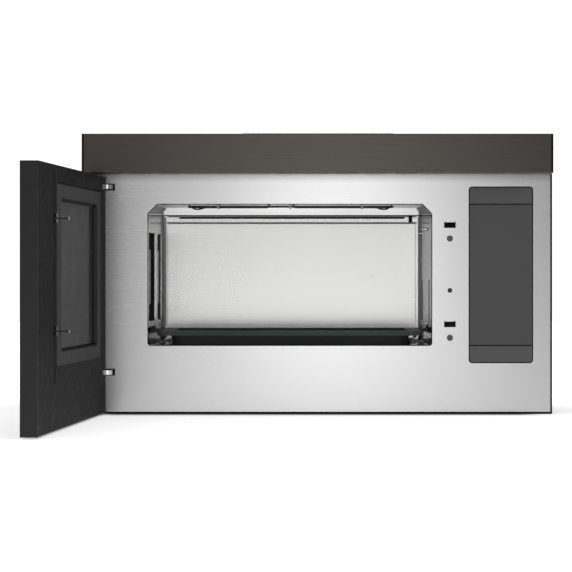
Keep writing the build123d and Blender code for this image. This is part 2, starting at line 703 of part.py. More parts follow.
# Grill heater: one bent tube, held up by three clips
heater_z = CAVITY_TOP - HEATER_DROP
heater_front = FACE_Y + HEATER_FRONT
heater_rear = heater_front + HEATER_LOOP
heater_ends = (CAVITY_LEFT + HEATER_LEFT, CAVITY_RIGHT - HEATER_RIGHT)
tail_z = CAVITY_TOP + HEATER_TAIL
terminal_x = (CAVITY_X + HEATER_TERMINALS[0], CAVITY_X + HEATER_TERMINALS[1])
with BuildPart() as grill_heater:
    with BuildLine() as heater_path:
        FilletPolyline(
            (terminal_x[0], heater_rear, tail_z),
            (terminal_x[0], heater_rear, heater_z),
            (heater_ends[0], heater_rear, heater_z),
            (heater_ends[0], heater_front, heater_z),
            (heater_ends[1], heater_front, heater_z),
            (heater_ends[1], heater_rear, heater_z),
            (terminal_x[1], heater_rear, heater_z),
            (terminal_x[1], heater_rear, tail_z),
            radius=[HEATER_TERMINAL_R] + 4 * [HEATER_BEND_R] + [HEATER_TERMINAL_R],
        )
    with BuildSketch(Plane((terminal_x[0], heater_rear, tail_z), z_dir=(0, 0, -1))):
        Circle(HEATER_R)
    sweep()
save(grill_heater, "grill_heater")

with BuildPart() as heater_clips:
    clip_low = heater_z - HEATER_R - FIT_GAP - CLIP_T
    for place in (CAVITY_X - CLIP_SPREAD, CAVITY_X, CAVITY_X + CLIP_SPREAD):
        clip_x = (place - CLIP_WIDTH / 2, place + CLIP_WIDTH / 2)
        clip_y = (heater_front - HEATER_R - CLIP_T - FIT_GAP, heater_rear + HEATER_R + CLIP_T + FIT_GAP)
        span_box(clip_x, clip_y, (clip_low, CAVITY_TOP))
        span_box(clip_x, shrink(clip_y, CLIP_T), (clip_low + CLIP_T, CAVITY_TOP), Mode.SUBTRACT)
save(heater_clips, "heater_clips")

# Cooking tray
tray_z = CAVITY_BOTTOM + TRAY_LIFT
tray_top = CAVITY_BOTTOM + TRAY_TOP
tray_y = FACE_Y + TRAY_SETBACK + TRAY_RIM_LENGTH / 2


def tray_well(inset, z):
    """A rounded outline of the tray's well at height z, with its slope."""
    lean = inset + TRAY_RIM + TRAY_WELL_TAPER * (tray_top - z) / TRAY_TOP
    with BuildSketch(Plane.XY.offset(z)) as well:
        with Locations((CAVITY_X, tray_y)):
            RectangleRounded(TRAY_RIM_WIDTH - 2 * lean, TRAY_RIM_LENGTH - 2 * lean, TRAY_WELL_R - inset)
    return well.sketch


with BuildPart() as cooking_tray:
    loft([tray_well(0, tray_z), tray_well(0, tray_top)])
    fillet(cooking_tray.faces().sort_by(Axis.Z)[0].edges(), TRAY_WALL / 2)
    with BuildSketch(Plane.XY.offset(tray_top - TRAY_RIM_T)):
        with Locations((CAVITY_X, tray_y)):
            RectangleRounded(TRAY_RIM_WIDTH, TRAY_RIM_LENGTH, TRAY_RIM_R)
    extrude(amount=TRAY_RIM_T)
    rim_edges = cooking_tray.faces().sort_by(Axis.Z)[-1].edges()
    fillet(rim_edges, TRAY_RIM_T / 2)
    with BuildSketch(Plane.XY.offset(tray_top - TRAY_SKIRT)):
        with Locations((CAVITY_X, tray_y)):
            RectangleRounded(TRAY_RIM_WIDTH, TRAY_RIM_LENGTH, TRAY_RIM_R)
            skirt_width = TRAY_RIM_WIDTH - 2 * TRAY_SKIRT_T
            skirt_length = TRAY_RIM_LENGTH - 2 * TRAY_SKIRT_T
            RectangleRounded(skirt_width, skirt_length, TRAY_RIM_R - TRAY_SKIRT_T, mode=Mode.SUBTRACT)
    extrude(amount=TRAY_SKIRT - TRAY_RIM_T)
    hollow = [tray_well(TRAY_WALL, tray_z + TRAY_WALL), tray_well(TRAY_WALL, tray_top + TRAY_LIFT)]
    loft(hollow, mode=Mode.SUBTRACT)
    foot_x = TRAY_RIM_WIDTH / 2 - TRAY_FOOT_INSET
    foot_y = TRAY_RIM_LENGTH / 2 - TRAY_FOOT_INSET
    with Locations((CAVITY_X, tray_y, tray_top - TRAY_FOOT_DROP / 2 - TRAY_RIM_T / 2)):
        with GridLocations(2 * foot_x, 2 * foot_y, 2, 2):
            Cylinder(TRAY_FOOT_R, TRAY_FOOT_DROP)
save(cooking_tray, "cooking_tray")

# Stainless face, black frame behind it and everything that opens in both
module_gap = (MODULE_X[0] - MODULE_GAP, MODULE_X[1] + MODULE_GAP)
arm_out = -HALF + ARM_OUT_X


def centre_and_size(limits):
    """The middle and the length of a pair of limits."""
    return (limits[0] + limits[1]) / 2, limits[1] - limits[0]


def cut_cavity(grow, depth):
    """Cut the cavity's front outline, larger by grow, through the part being built."""
    with BuildSketch(front_plane(FACE_Y - TOUCH)) as outline:
        cavity_outline(grow)
        fillet(vertices().group_by(Axis.Y)[0], CAVITY_FLOOR_R + grow)
    extrude(outline.sketch, amount=-depth, mode=Mode.SUBTRACT)


def cut_front_holes(latch_grow, arm_width, arm_height, screw_hole_r, depth):
    """Cut the latch slots, the hinge slots and the screw hole."""
    with BuildSketch(front_plane(FACE_Y - TOUCH)) as outline:
        with Locations(*[(LATCH_X, z) for z in HOOK_Z]):
            Rectangle(LATCH_SLOT[0] + 2 * latch_grow, LATCH_SLOT[1] + 2 * latch_grow)
        with Locations(*[(centre_and_size(arm_width)[0], z) for z in ARM_Z]):
            Rectangle(centre_and_size(arm_width)[1], arm_height)
        with Locations((LATCH_X, SCREW_Z)):
            Circle(screw_hole_r)
    extrude(outline.sketch, amount=-depth, mode=Mode.SUBTRACT)


with BuildPart() as front_face_panel:
    panel_x = shrink((-HALF, HALF), FACE_MARGIN)
    span_box(panel_x, (FACE_Y, PANEL_BACK), (FACE_FOOT, BAND_Z - BAND_GAP))
    fillet(front_face_panel.edges().filter_by(Axis.Y), FACE_T)
    cut_cavity(0, 2 * FACE_T)
    arm_slot = (ARM_SLOT_X[0] - HALF, ARM_SLOT_X[1] - HALF)
    cut_front_holes(0, arm_slot, ARM_SLOT_HEIGHT, SCREW_HOLE_R, 2 * FACE_T)
    gap_x, gap_width = centre_and_size(module_gap)
    gap_z, gap_height = centre_and_size(shrink(MODULE_Z, -MODULE_GAP))
    with BuildSketch(front_plane(FACE_Y - TOUCH)):
        with Locations((gap_x, gap_z)):
            RectangleRounded(gap_width, gap_height, MODULE_R + MODULE_GAP)
    extrude(amount=-2 * FACE_T, mode=Mode.SUBTRACT)
    for z in HOOK_Z:
        drop_x = (LATCH_X - LATCH_SLOT_DROP[0] / 2, LATCH_X + LATCH_SLOT_DROP[0] / 2)
        slot_top = z + LATCH_SLOT[1] / 2
        drop_z = (slot_top - LATCH_SLOT_DROP[1], slot_top + LATCH_SLOT_DROP[1])
        span_box(drop_x, (FACE_Y, PANEL_BACK), drop_z)
save(front_face_panel, "front_face_panel")

with BuildPart() as front_frame:
    frame_z = (0, BAND_Z - BAND_GAP)
    span_box((-HALF, HALF), (FACE_Y, RETURN_Y), frame_z)
    fillet(front_frame.edges().filter_by(Axis.Y), FACE_T)
    inside = shrink((-HALF, HALF), FACE_MARGIN)
    span_box(inside, (FRAME_BACK, RETURN_Y), (FACE_FOOT, BAND_Z), Mode.SUBTRACT)
    span_box(inside, (FACE_Y, PANEL_BACK), (FACE_FOOT, BAND_Z), Mode.SUBTRACT)
    cut_cavity(2 * SHEET, FACE_T + 2 * FRAME_T)
    arm_x = (arm_out - ARM_T - ARM_HOLE_GAP, arm_out + ARM_HOLE_GAP)
    cut_front_holes(2 * FIT_GAP, arm_x, ARM_HEIGHT + 2 * ARM_HOLE_GAP, SCREW_R + TOUCH, FACE_T + 2 * FRAME_T)
save(front_frame, "front_frame")

with BuildPart() as vent_fascia:
    band_front = FACE_Y - BAND_PROUD
    span_box((-HALF, HALF), (band_front, RETURN_Y), (BAND_Z, BODY_HEIGHT))
    front_edges = vent_fascia.faces().sort_by(Axis.Y)[0].edges()
    fillet(front_edges.filter_by(Axis.Z), BAND_CORNER_R)
    fillet(vent_fascia.edges().group_by(Axis.Z)[-1].sort_by(Axis.Y)[:3], BAND_EDGE_R)
    fillet(vent_fascia.edges().group_by(Axis.Z)[0].sort_by(Axis.Y)[:3], BAND_EDGE_R)
    hollow = shrink((-HALF, HALF), BAND_WALL)
    hollow_z = shrink((BAND_Z, BODY_HEIGHT), BAND_WALL)
    span_box(hollow, (band_front + BAND_WALL, RETURN_Y), hollow_z, Mode.SUBTRACT)
    with Locations((0, FACE_Y - BAND_PROUD / 2, BAND_Z)):
        with GridLocations(BODY_WIDTH / (BAND_SLOT_COUNT + 1), 1, BAND_SLOT_COUNT, 1):
            Box(*BAND_SLOT, 3 * BAND_WALL, mode=Mode.SUBTRACT)
save(vent_fascia, "vent_fascia")

# Control module cover: a middle plate between two end caps
cap_z = (MODULE_Z[0] + MODULE_CAP, MODULE_Z[1] - MODULE_CAP)


def module_plate(z, radius_edges):
    """A plate of the module between two heights, rounded at the top or bottom where it is an end."""
    span_box(MODULE_X, (PANEL_BACK - MODULE_T, PANEL_BACK), z)
    if radius_edges:
        ends = [e for e in edges().filter_by(Axis.Y) if abs(e.center().Z - radius_edges) < TOUCH]
        fillet(ends, MODULE_R)


with BuildPart() as module_cover:
    module_plate(shrink(cap_z, MODULE_SPLIT / 2), None)
save(module_cover, "module_cover")

with BuildPart() as module_end_caps:
    module_plate((cap_z[1] + MODULE_SPLIT / 2, MODULE_Z[1]), MODULE_Z[1])
    module_plate((MODULE_Z[0], cap_z[0] - MODULE_SPLIT / 2), MODULE_Z[0])
save(module_end_caps, "module_end_caps")

with BuildPart() as door_bumpers:
    for z in HOOK_Z:
        rod("Y", (LATCH_X, FACE_Y - BUMPER_T / 2, z - BUMPER_DROP), BUMPER_R, BUMPER_T)
    fillet(door_bumpers.edges().group_by(Axis.Y)[0], BUMPER_EDGE_R)
save(door_bumpers, "door_bumpers")

with BuildPart() as face_screw:
    rod("Y", (LATCH_X, FACE_Y + 2 * FRAME_T, SCREW_Z), SCREW_R, 4 * FRAME_T)
    fillet(face_screw.edges().group_by(Axis.Y)[0], SCREW_R / 3)
save(face_screw, "face_screw")

# Outer sheets
CASE_IN = HALF - SHEET
duct_x = (-DUCT_WIDTH / 2, DUCT_WIDTH / 2)
duct_y = (-DUCT_Y - DUCT_LENGTH / 2, -DUCT_Y + DUCT_LENGTH / 2)
with BuildPart() as outer_casing:
    span_box((-HALF, HALF), (RETURN_Y, REAR_Y), (0, BODY_HEIGHT))
    span_box((-CASE_IN, CASE_IN), (RETURN_Y, REAR_Y), (0, BODY_HEIGHT - SHEET), Mode.SUBTRACT)
    span_box(duct_x, duct_y, (BODY_HEIGHT - 2 * SHEET, BODY_HEIGHT + SHEET), Mode.SUBTRACT)
    for side in (-1, 1):
        at = (side * CABINET_SPAN / 2, -CABINET_HOLE_Y, BODY_HEIGHT)
        rod("Z", at, CABINET_HOLE_R, 4 * SHEET, Mode.SUBTRACT)
    rod("Z", (CORD_X, -CORD_Y, BODY_HEIGHT), BUSHING_R - BUSHING_GROOVE, 4 * SHEET, Mode.SUBTRACT)
    for x, y in SCREW_PLACES:
        rod("Z", (x, -y, BODY_HEIGHT), CASE_SCREW_R / 2 + TOUCH, 4 * SHEET, Mode.SUBTRACT)
    with Locations((0, -BODY_DEPTH / 2, SIDE_SLOT_Z)):
        with GridLocations(1, 2 * SIDE_SLOT[0], 1, 2):
            for row in range(SIDE_SLOT_ROWS):
                with Locations((0, 0, row * SIDE_SLOT_PITCH)):
                    Box(2 * BODY_WIDTH, *SIDE_SLOT, mode=Mode.SUBTRACT)
save(outer_casing, "outer_casing")

with BuildPart() as case_screws:
    for x, y in SCREW_PLACES:
        rod("Z", (x, -y, BODY_HEIGHT + CASE_SCREW_T / 2), CASE_SCREW_R, CASE_SCREW_T)
        rod("Z", (x, -y, BODY_HEIGHT - 2 * SHEET), CASE_SCREW_R / 2, 4 * SHEET)
save(case_screws, "case_screws")

filter_y = (-FILTER_REAR - FILTER_LENGTH, -FILTER_REAR)
ledge_slot = shrink((-LEDGE_WIDTH / 2, LEDGE_WIDTH / 2), -2 * OVERSHOOT)
with BuildPart() as base_pan:
    span_box((-CASE_IN, CASE_IN), (RETURN_Y, REAR_Y), (0, FRAME_RETURN))
    inner_x = shrink((-CASE_IN, CASE_IN), BASE_T)
    span_box(inner_x, (RETURN_Y + BASE_T, REAR_Y - BASE_T), (BASE_T, FRAME_RETURN + BASE_T), Mode.SUBTRACT)
    for side in (-1, 1):
        opening = shrink((-FILTER_WIDTH / 2, FILTER_WIDTH / 2), -FILTER_CLEAR)
        opening = (side * FILTER_X + opening[0], side * FILTER_X + opening[1])
        span_box(opening, shrink(filter_y, -FILTER_CLEAR), (-BASE_T, 2 * BASE_T), Mode.SUBTRACT)
        with Locations((side * COOKTOP_LAMP_X, -COOKTOP_LAMP_Y, 0)):
            Box(COOKTOP_LAMP[0] + 2 * FIT_GAP, COOKTOP_LAMP[1] + 2 * FIT_GAP, 4 * BASE_T, mode=Mode.SUBTRACT)
        slot_x = (side * LEDGE_X + ledge_slot[0], side * LEDGE_X + ledge_slot[1])
        slot_y = (REAR_Y - 2 * BASE_T, REAR_Y + BASE_T)
        span_box(slot_x, slot_y, shrink(LEDGE_Z, -OVERSHOOT), Mode.SUBTRACT)
save(base_pan, "base_pan")

with BuildPart() as rear_panel:
    span_box((-HALF, HALF), (REAR_Y, -WALL_PLATE_T), (0, BODY_HEIGHT))
    for side in (-1, 1):
        slot_x = (side * LEDGE_X + ledge_slot[0], side * LEDGE_X + ledge_slot[1])
        span_box(slot_x, (REAR_Y - SHEET, 0), shrink(LEDGE_Z, -OVERSHOOT), Mode.SUBTRACT)
    with BuildSketch(front_plane(REAR_Y - SHEET)):
        with Locations((0, WALL_HOLE_Z)):
            with GridLocations(STUD_SPAN_X, WALL_SPAN_Z, 2, 2):
                Circle(WALL_HEAD_R)
    extrude(amount=-3 * SHEET, mode=Mode.SUBTRACT)
save(rear_panel, "rear_panel")

with BuildPart() as wall_mounting_plate:
    plate_x = (-HALF + WALL_PLATE_SIDE, HALF - WALL_PLATE_SIDE)
    span_box(plate_x, (-WALL_PLATE_T, 0), (0, BODY_HEIGHT - WALL_PLATE_TOP))
    fillet(wall_mounting_plate.edges().filter_by(Axis.Y), WALL_PLATE_R)
    with BuildSketch(front_plane(-WALL_PLATE_T)):
        with Locations((0, WALL_HOLE_Z)):
            with GridLocations(2 * WALL_WINDOW_WIDTH, 1, 2, 1):
                RectangleRounded(WALL_WINDOW_WIDTH, BODY_HEIGHT - WALL_WINDOW_DROP, 2 * WALL_PLATE_R)
            with GridLocations(STUD_SPAN_X, WALL_SPAN_Z, 2, 2):
                Circle(WALL_HOLE_R)
    extrude(amount=-WALL_PLATE_T, mode=Mode.SUBTRACT)
    for side in (-1, 1):
        ledge_x = (side * LEDGE_X - LEDGE_WIDTH / 2, side * LEDGE_X + LEDGE_WIDTH / 2)
        span_box(ledge_x, (-LEDGE_DEPTH, -WALL_PLATE_T), (LEDGE_Z[0], LEDGE_Z[0] + WALL_PLATE_T))
        span_box(ledge_x, (-LEDGE_DEPTH, -LEDGE_DEPTH + WALL_PLATE_T), LEDGE_Z)
save(wall_mounting_plate, "wall_mounting_plate")

with BuildPart() as cabinet_bolt_bars:
    for side in (-1, 1):
        bar_x = side * CABINET_SPAN / 2
        bar_z = (BODY_HEIGHT - SHEET - CABINET_BAR[1], BODY_HEIGHT - SHEET)
        bar_y = (RETURN_Y, -CORD_Y - 2 * BUSHING_R)
        span_box((bar_x - CABINET_BAR[0] / 2, bar_x + CABINET_BAR[0] / 2), bar_y, bar_z)
        rod("Z", (bar_x, -CABINET_HOLE_Y, bar_z[0]), CABINET_HOLE_R, 4 * CABINET_BAR[1], Mode.SUBTRACT)
    for x, y in SCREW_PLACES:
        rod("Z", (x, -y, BODY_HEIGHT), CASE_SCREW_R / 2 + TOUCH, 4 * CABINET_BAR[1], Mode.SUBTRACT)
save(cabinet_bolt_bars, "cabinet_bolt_bars")

with BuildPart() as cord_bushing:
    rod("Z", (CORD_X, -CORD_Y, BODY_HEIGHT + BUSHING_T / 2), BUSHING_R, BUSHING_T)
    rod("Z", (CORD_X, -CORD_Y, BODY_HEIGHT - SHEET / 2), BUSHING_R - BUSHING_GROOVE - TOUCH, SHEET)
    rod("Z", (CORD_X, -CORD_Y, BODY_HEIGHT - SHEET - BUSHING_T / 2), BUSHING_R, BUSHING_T)
    rod("Z", (CORD_X, -CORD_Y, BODY_HEIGHT), CORD_R, 6 * BUSHING_T, Mode.SUBTRACT)
save(cord_bushing, "cord_bushing")

# Exhaust adapter, damper flap and blower
collar_z = (BODY_HEIGHT, BODY_HEIGHT + SHEET + COLLAR_HEIGHT)
flap_z = BODY_HEIGHT + 2 * SHEET
hinge_y = duct_y[1] - FLAP_CLEAR - FLAP_PIN_R
with BuildPart() as exhaust_adapter:
    flange_x = shrink(duct_x, -COLLAR_FLANGE)
    flange_y = shrink(duct_y, -COLLAR_FLANGE)
    span_box(flange_x, flange_y, (BODY_HEIGHT, BODY_HEIGHT + SHEET))
    span_box(shrink(duct_x, -SHEET), shrink(duct_y, -SHEET), collar_z)
    span_box(duct_x, duct_y, (BODY_HEIGHT - SHEET, collar_z[1] + SHEET), Mode.SUBTRACT)
    pin_hole = (0, hinge_y, flap_z + FLAP_PIN_R)
    rod("X", pin_hole, FLAP_PIN_R + PIN_RUN, 2 * DUCT_WIDTH, Mode.SUBTRACT)
save(exhaust_adapter, "exhaust_adapter")

with BuildPart() as damper_flap:
    span_box(shrink(duct_x, FLAP_CLEAR), (duct_y[0] + FLAP_CLEAR, hinge_y), (flap_z, flap_z + FLAP_T))
    rod("X", pin_hole, FLAP_PIN_R, DUCT_WIDTH + 2 * SHEET)
save(damper_flap, "damper_flap")

motor_half = BLOWER_MOTOR_LENGTH / 2
wheel_at = motor_half + WHEEL_GAP + WHEEL_LENGTH / 2
blower_end = wheel_at + WHEEL_LENGTH / 2 + BLOWER_END_GAP
blower_x = (-blower_end, blower_end)


def blower_profile(radius):
    """The blower's section: a half round belly under straight sides that reach the outlet."""
    with Locations((-DUCT_Y, BLOWER_Z)):
        Circle(radius)
    with Locations((-DUCT_Y, (BLOWER_Z + BODY_HEIGHT - SHEET) / 2)):
        Rectangle(2 * radius, BODY_HEIGHT - SHEET - BLOWER_Z)


with BuildPart() as blower_housing:
    with BuildSketch(Plane.YZ.offset(blower_x[0])):
        blower_profile(BLOWER_R)
    extrude(amount=blower_x[1] - blower_x[0])
    for low, high in ((blower_x[0] + SHEET, -motor_half - SHEET), (motor_half + SHEET, blower_x[1] - SHEET)):
        with BuildSketch(Plane.YZ.offset(low)):
            blower_profile(BLOWER_R - SHEET)
        extrude(amount=high - low, mode=Mode.SUBTRACT)
    with BuildSketch(Plane.YZ.offset(-motor_half)):
        blower_profile(BLOWER_R - SHEET)
    extrude(amount=2 * motor_half, mode=Mode.SUBTRACT)
    rod("X", (0, -DUCT_Y, BLOWER_Z), BLOWER_INLET_R, 3 * blower_x[1], Mode.SUBTRACT)
    top_z = (BODY_HEIGHT - 3 * SHEET, BODY_HEIGHT)
    span_box(shrink(blower_x, SHEET), shrink(duct_y, SHEET), top_z, Mode.SUBTRACT)
save(blower_housing, "blower_housing")

with BuildPart() as blower_motor:
    rod("X", (0, -DUCT_Y, BLOWER_Z), BLOWER_MOTOR_CAN_R, BLOWER_MOTOR_LENGTH - 2 * WHEEL_GAP)
    rod("X", (0, -DUCT_Y, BLOWER_Z), BLOWER_MOTOR_R, BLOWER_MOTOR_LENGTH / 2)
    rod("X", (0, -DUCT_Y, BLOWER_Z), WHEEL_BORE_R, 2 * wheel_at + WHEEL_LENGTH / 2)
    foot_low = BLOWER_Z - ((BLOWER_R - SHEET) ** 2 - FOOT_HALF**2) ** 0.5
    span_box((-FOOT_HALF, FOOT_HALF), (-DUCT_Y - FOOT_HALF, -DUCT_Y + FOOT_HALF), (foot_low, BLOWER_Z))
save(blower_motor, "blower_motor")

with BuildPart() as blower_wheels:
    for side in (-1, 1):
        with BuildSketch(Plane.YZ.offset(side * wheel_at - WHEEL_LENGTH / 2)):
            with Locations((-DUCT_Y, BLOWER_Z)):
                with PolarLocations(WHEEL_R - WHEEL_BLADE_DEPTH / 2, WHEEL_BLADES):
                    Rectangle(WHEEL_BLADE_DEPTH, WHEEL_BLADE_T)
        extrude(amount=WHEEL_LENGTH)
        reach = (WHEEL_LENGTH - WHEEL_RING_T) / 2
        for at in (side * wheel_at - reach, side * wheel_at + reach):
            rod("X", (at, -DUCT_Y, BLOWER_Z), WHEEL_R, WHEEL_RING_T)
            rod("X", (at, -DUCT_Y, BLOWER_Z), WHEEL_R - WHEEL_BLADE_DEPTH, WHEEL_RING_T, Mode.SUBTRACT)
        rod("X", (side * wheel_at, -DUCT_Y, BLOWER_Z), WHEEL_R, WHEEL_RING_T)
        rod("X", (side * wheel_at, -DUCT_Y, BLOWER_Z), WHEEL_HUB_R, WHEEL_HUB_LENGTH)
    rod("X", (0, -DUCT_Y, BLOWER_Z), WHEEL_BORE_R + PIN_RUN, 2 * blower_x[1], Mode.SUBTRACT)
save(blower_wheels, "blower_wheels")

with BuildPart() as charcoal_filter:
    charcoal_x = (CAVITY_LEFT + CHARCOAL_SIDE, CAVITY_RIGHT - CHARCOAL_SIDE)
    charcoal_y = (RETURN_Y + WHEEL_GAP, RETURN_Y + WHEEL_GAP + CHARCOAL_T)
    charcoal_z = (BAND_Z - CHARCOAL_DROP, BAND_Z - CHARCOAL_DROP + CHARCOAL_HEIGHT)
    span_box(charcoal_x, charcoal_y, charcoal_z)
    cell = (charcoal_x[1] - charcoal_x[0]) / CHARCOAL_CELLS
    for y in charcoal_y:
        with Locations((CAVITY_X, y, sum(charcoal_z) / 2)):
            with GridLocations(cell, 1, CHARCOAL_CELLS, 1):
                cell_height = CHARCOAL_HEIGHT - 2 * CHARCOAL_FRAME
                Box(cell - CHARCOAL_FRAME, 2 * CHARCOAL_CELL_DEPTH, cell_height, mode=Mode.SUBTRACT)
save(charcoal_filter, "charcoal_filter")


def grease_filter(side):
    """A flat filter: an aluminium frame round a pierced sheet, with a finger notch at the front."""
    with BuildPart() as mesh:
        x = (side * FILTER_X - FILTER_WIDTH / 2, side * FILTER_X + FILTER_WIDTH / 2)
        span_box(x, filter_y, (0, FILTER_T))
        inner_x = shrink(x, FILTER_FRAME)
        inner_y = shrink(filter_y, FILTER_FRAME)
        span_box(inner_x, inner_y, (-SHEET, FILTER_SHEET[0]), Mode.SUBTRACT)
        span_box(inner_x, inner_y, (FILTER_SHEET[1], FILTER_T + SHEET), Mode.SUBTRACT)
        with BuildSketch():
            with Locations((side * FILTER_X, sum(filter_y) / 2)):
                columns = int((FILTER_WIDTH - 2 * FILTER_FRAME - FILTER_HOLE_R) / FILTER_PITCH)
                rows = int((FILTER_LENGTH - 2 * FILTER_FRAME - FILTER_HOLE_R) / FILTER_PITCH)
                with GridLocations(FILTER_PITCH, FILTER_PITCH, columns, rows):
                    RegularPolygon(FILTER_HOLE_R, 4)
        extrude(amount=FILTER_T, mode=Mode.SUBTRACT)
        with Locations((side * FILTER_X, filter_y[0], 0)):
            Box(FINGER_NOTCH[0], 2 * FINGER_NOTCH[1], FILTER_T / 2, mode=Mode.SUBTRACT)
    return mesh


grease_filter_left = grease_filter(-1)
save(grease_filter_left, "grease_filter_left")
grease_filter_right = grease_filter(1)
save(grease_filter_right, "grease_filter_right")

with BuildPart() as cooktop_lamps:
    with Locations((0, -COOKTOP_LAMP_Y, BASE_T)):
        with GridLocations(2 * COOKTOP_LAMP_X, 1, 2, 1):
            Box(*COOKTOP_LAMP, 2 * BASE_T)
    fillet(cooktop_lamps.edges().filter_by(Axis.Z), COOKTOP_LAMP_R)
save(cooktop_lamps, "cooktop_lamps")

# Convection module behind the left wall
fan_y = FACE_Y + (VENTS[0][0] + VENTS[1][1]) / 2
fan_z = VENT_BOTTOM + VENT_HEIGHT / 2
box_y = (FACE_Y + VENTS[0][0] - CONVECTION_LAP[0], FACE_Y + VENTS[1][1] + CONVECTION_LAP[1])
box_z = shrink((VENT_BOTTOM, VENT_BOTTOM + VENT_HEIGHT), -CONVECTION_LAP[2])
with BuildPart() as convection_housing:
    span_box((CONVECTION_BOX_X, CAVITY_X), box_y, box_z)
    inner_z = shrink(box_z, SHEET)
    span_box((CONVECTION_BOX_X + SHEET, CAVITY_X + SHEET), shrink(box_y, SHEET), inner_z, Mode.SUBTRACT)
    add(SCREEN_SKIN, mode=Mode.SUBTRACT)
    rod("X", (CONVECTION_BOX_X, fan_y, fan_z), SHAFT_R + FIT_GAP, 4 * SHEET, Mode.SUBTRACT)
save(convection_housing, "convection_housing")

wheel_x = (CONVECTION_BOX_X + CONVECTION_GAP, CONVECTION_BOX_X + CONVECTION_GAP + CONVECTION_DEPTH)
hub_end = wheel_x[0] + CONVECTION_HUB[1]
with BuildPart() as convection_fan:
    with BuildSketch(Plane.YZ.offset(wheel_x[0])):
        with Locations((fan_y, fan_z)):
            Circle(CONVECTION_R)
    extrude(amount=CONVECTION_DISC_T)
    rod("X", ((wheel_x[0] + hub_end) / 2, fan_y, fan_z), CONVECTION_HUB[0], CONVECTION_HUB[1])
    with BuildSketch(Plane.YZ.offset(wheel_x[0])):
        with Locations((fan_y, fan_z)):
            with PolarLocations(CONVECTION_R * 0.75, CONVECTION_BLADES):
                Rectangle(CONVECTION_R / 2 - 2 * CONVECTION_BLADE_T, CONVECTION_BLADE_T, rotation=25)
    extrude(amount=CONVECTION_DEPTH)
    rod("X", (wheel_x[0], fan_y, fan_z), SHAFT_R + PIN_RUN, 3 * CONVECTION_DEPTH, Mode.SUBTRACT)
save(convection_fan, "convection_fan")

with BuildPart() as convection_motor:
    motor_x = (-CASE_IN + CONVECTION_GAP, CONVECTION_BOX_X)
    rod("X", (sum(motor_x) / 2, fan_y, fan_z), CONVECTION_MOTOR[0], motor_x[1] - motor_x[0])
    rod("X", (motor_x[1] - CONVECTION_FLANGE_T, fan_y, fan_z), CONVECTION_MOTOR[1], CONVECTION_FLANGE_T)
    rod("X", ((motor_x[0] + hub_end) / 2, fan_y, fan_z), SHAFT_R, hub_end - motor_x[0])
save(convection_motor, "convection_motor")

# Microwave source: guide under the floor, magnetron, stirrer and its motor
guide_x = (CAVITY_X - STIRRER_R, GUIDE_END_X)
guide_y = (STIRRER_Y - GUIDE_WIDTH / 2, STIRRER_Y + GUIDE_WIDTH / 2)
guide_z = (GUIDE_TOP - GUIDE_HEIGHT, GUIDE_TOP)
with BuildPart() as waveguide:
    span_box(guide_x, guide_y, guide_z)
    span_box(shrink(guide_x, SHEET), shrink(guide_y, SHEET), shrink(guide_z, SHEET), Mode.SUBTRACT)
    rod("Z", (CAVITY_X, STIRRER_Y, guide_z[1]), STIRRER_R / 2, 4 * SHEET, Mode.SUBTRACT)
    rod("Z", (CAVITY_X, STIRRER_Y, guide_z[0]), STIRRER_SHAFT_R + 2 * OVERSHOOT, 4 * SHEET, Mode.SUBTRACT)
    rod("Z", (MAGNETRON_X, STIRRER_Y, guide_z[1]), ANTENNA_HOLE_R, 4 * SHEET, Mode.SUBTRACT)
save(waveguide, "waveguide")

with BuildPart() as magnetron:
    mag_x = (MAGNETRON_X - MAGNETRON[0] / 2, MAGNETRON_X + MAGNETRON[0] / 2)
    mag_y = (STIRRER_Y - MAGNETRON[1] / 2, STIRRER_Y + MAGNETRON[1] / 2)
    mag_z = (GUIDE_TOP, GUIDE_TOP + MAGNETRON[2])
    span_box(mag_x, mag_y, mag_z)
    window_z = (mag_z[0] + MAGNETRON_CAPS[0], mag_z[1] - MAGNETRON_CAPS[1])
    span_box(shrink(mag_x, -OVERSHOOT), shrink(mag_y, MAGNETRON_WALL), window_z, Mode.SUBTRACT)
    rod("Z", (MAGNETRON_X, STIRRER_Y, sum(window_z) / 2), MAGNETRON_CORE_R, window_z[1] - window_z[0])
    pitch = (window_z[1] - window_z[0]) / (MAGNETRON_FINS + 1)
    for fin in range(MAGNETRON_FINS):
        level = window_z[0] + pitch * (fin + 1)
        fin_z = (level - SHEET / 2, level + SHEET / 2)
        span_box(shrink(mag_x, MAGNETRON_WALL), shrink(mag_y, MAGNETRON_WALL), fin_z)
    antenna_r, antenna_length = MAGNETRON_ANTENNA
    rod("Z", (MAGNETRON_X, STIRRER_Y, GUIDE_TOP - antenna_length / 2), antenna_r, antenna_length)
save(magnetron, "magnetron")

stirrer_z = (RECESS_Z + STIRRER_LIFT, RECESS_Z + STIRRER_LIFT + STIRRER_T)
motor_top = guide_z[0]
shaft_length = RECESS_Z - motor_top + STIRRER_SHAFT_RISE
with BuildPart() as stirrer_motor:
    rod("Z", (CAVITY_X, STIRRER_Y, motor_top - STIRRER_MOTOR[1] / 2), *STIRRER_MOTOR)
    rod("Z", (CAVITY_X, STIRRER_Y, (motor_top + RECESS_Z) / 2), STIRRER_SHAFT_R, shaft_length)
save(stirrer_motor, "stirrer_motor")

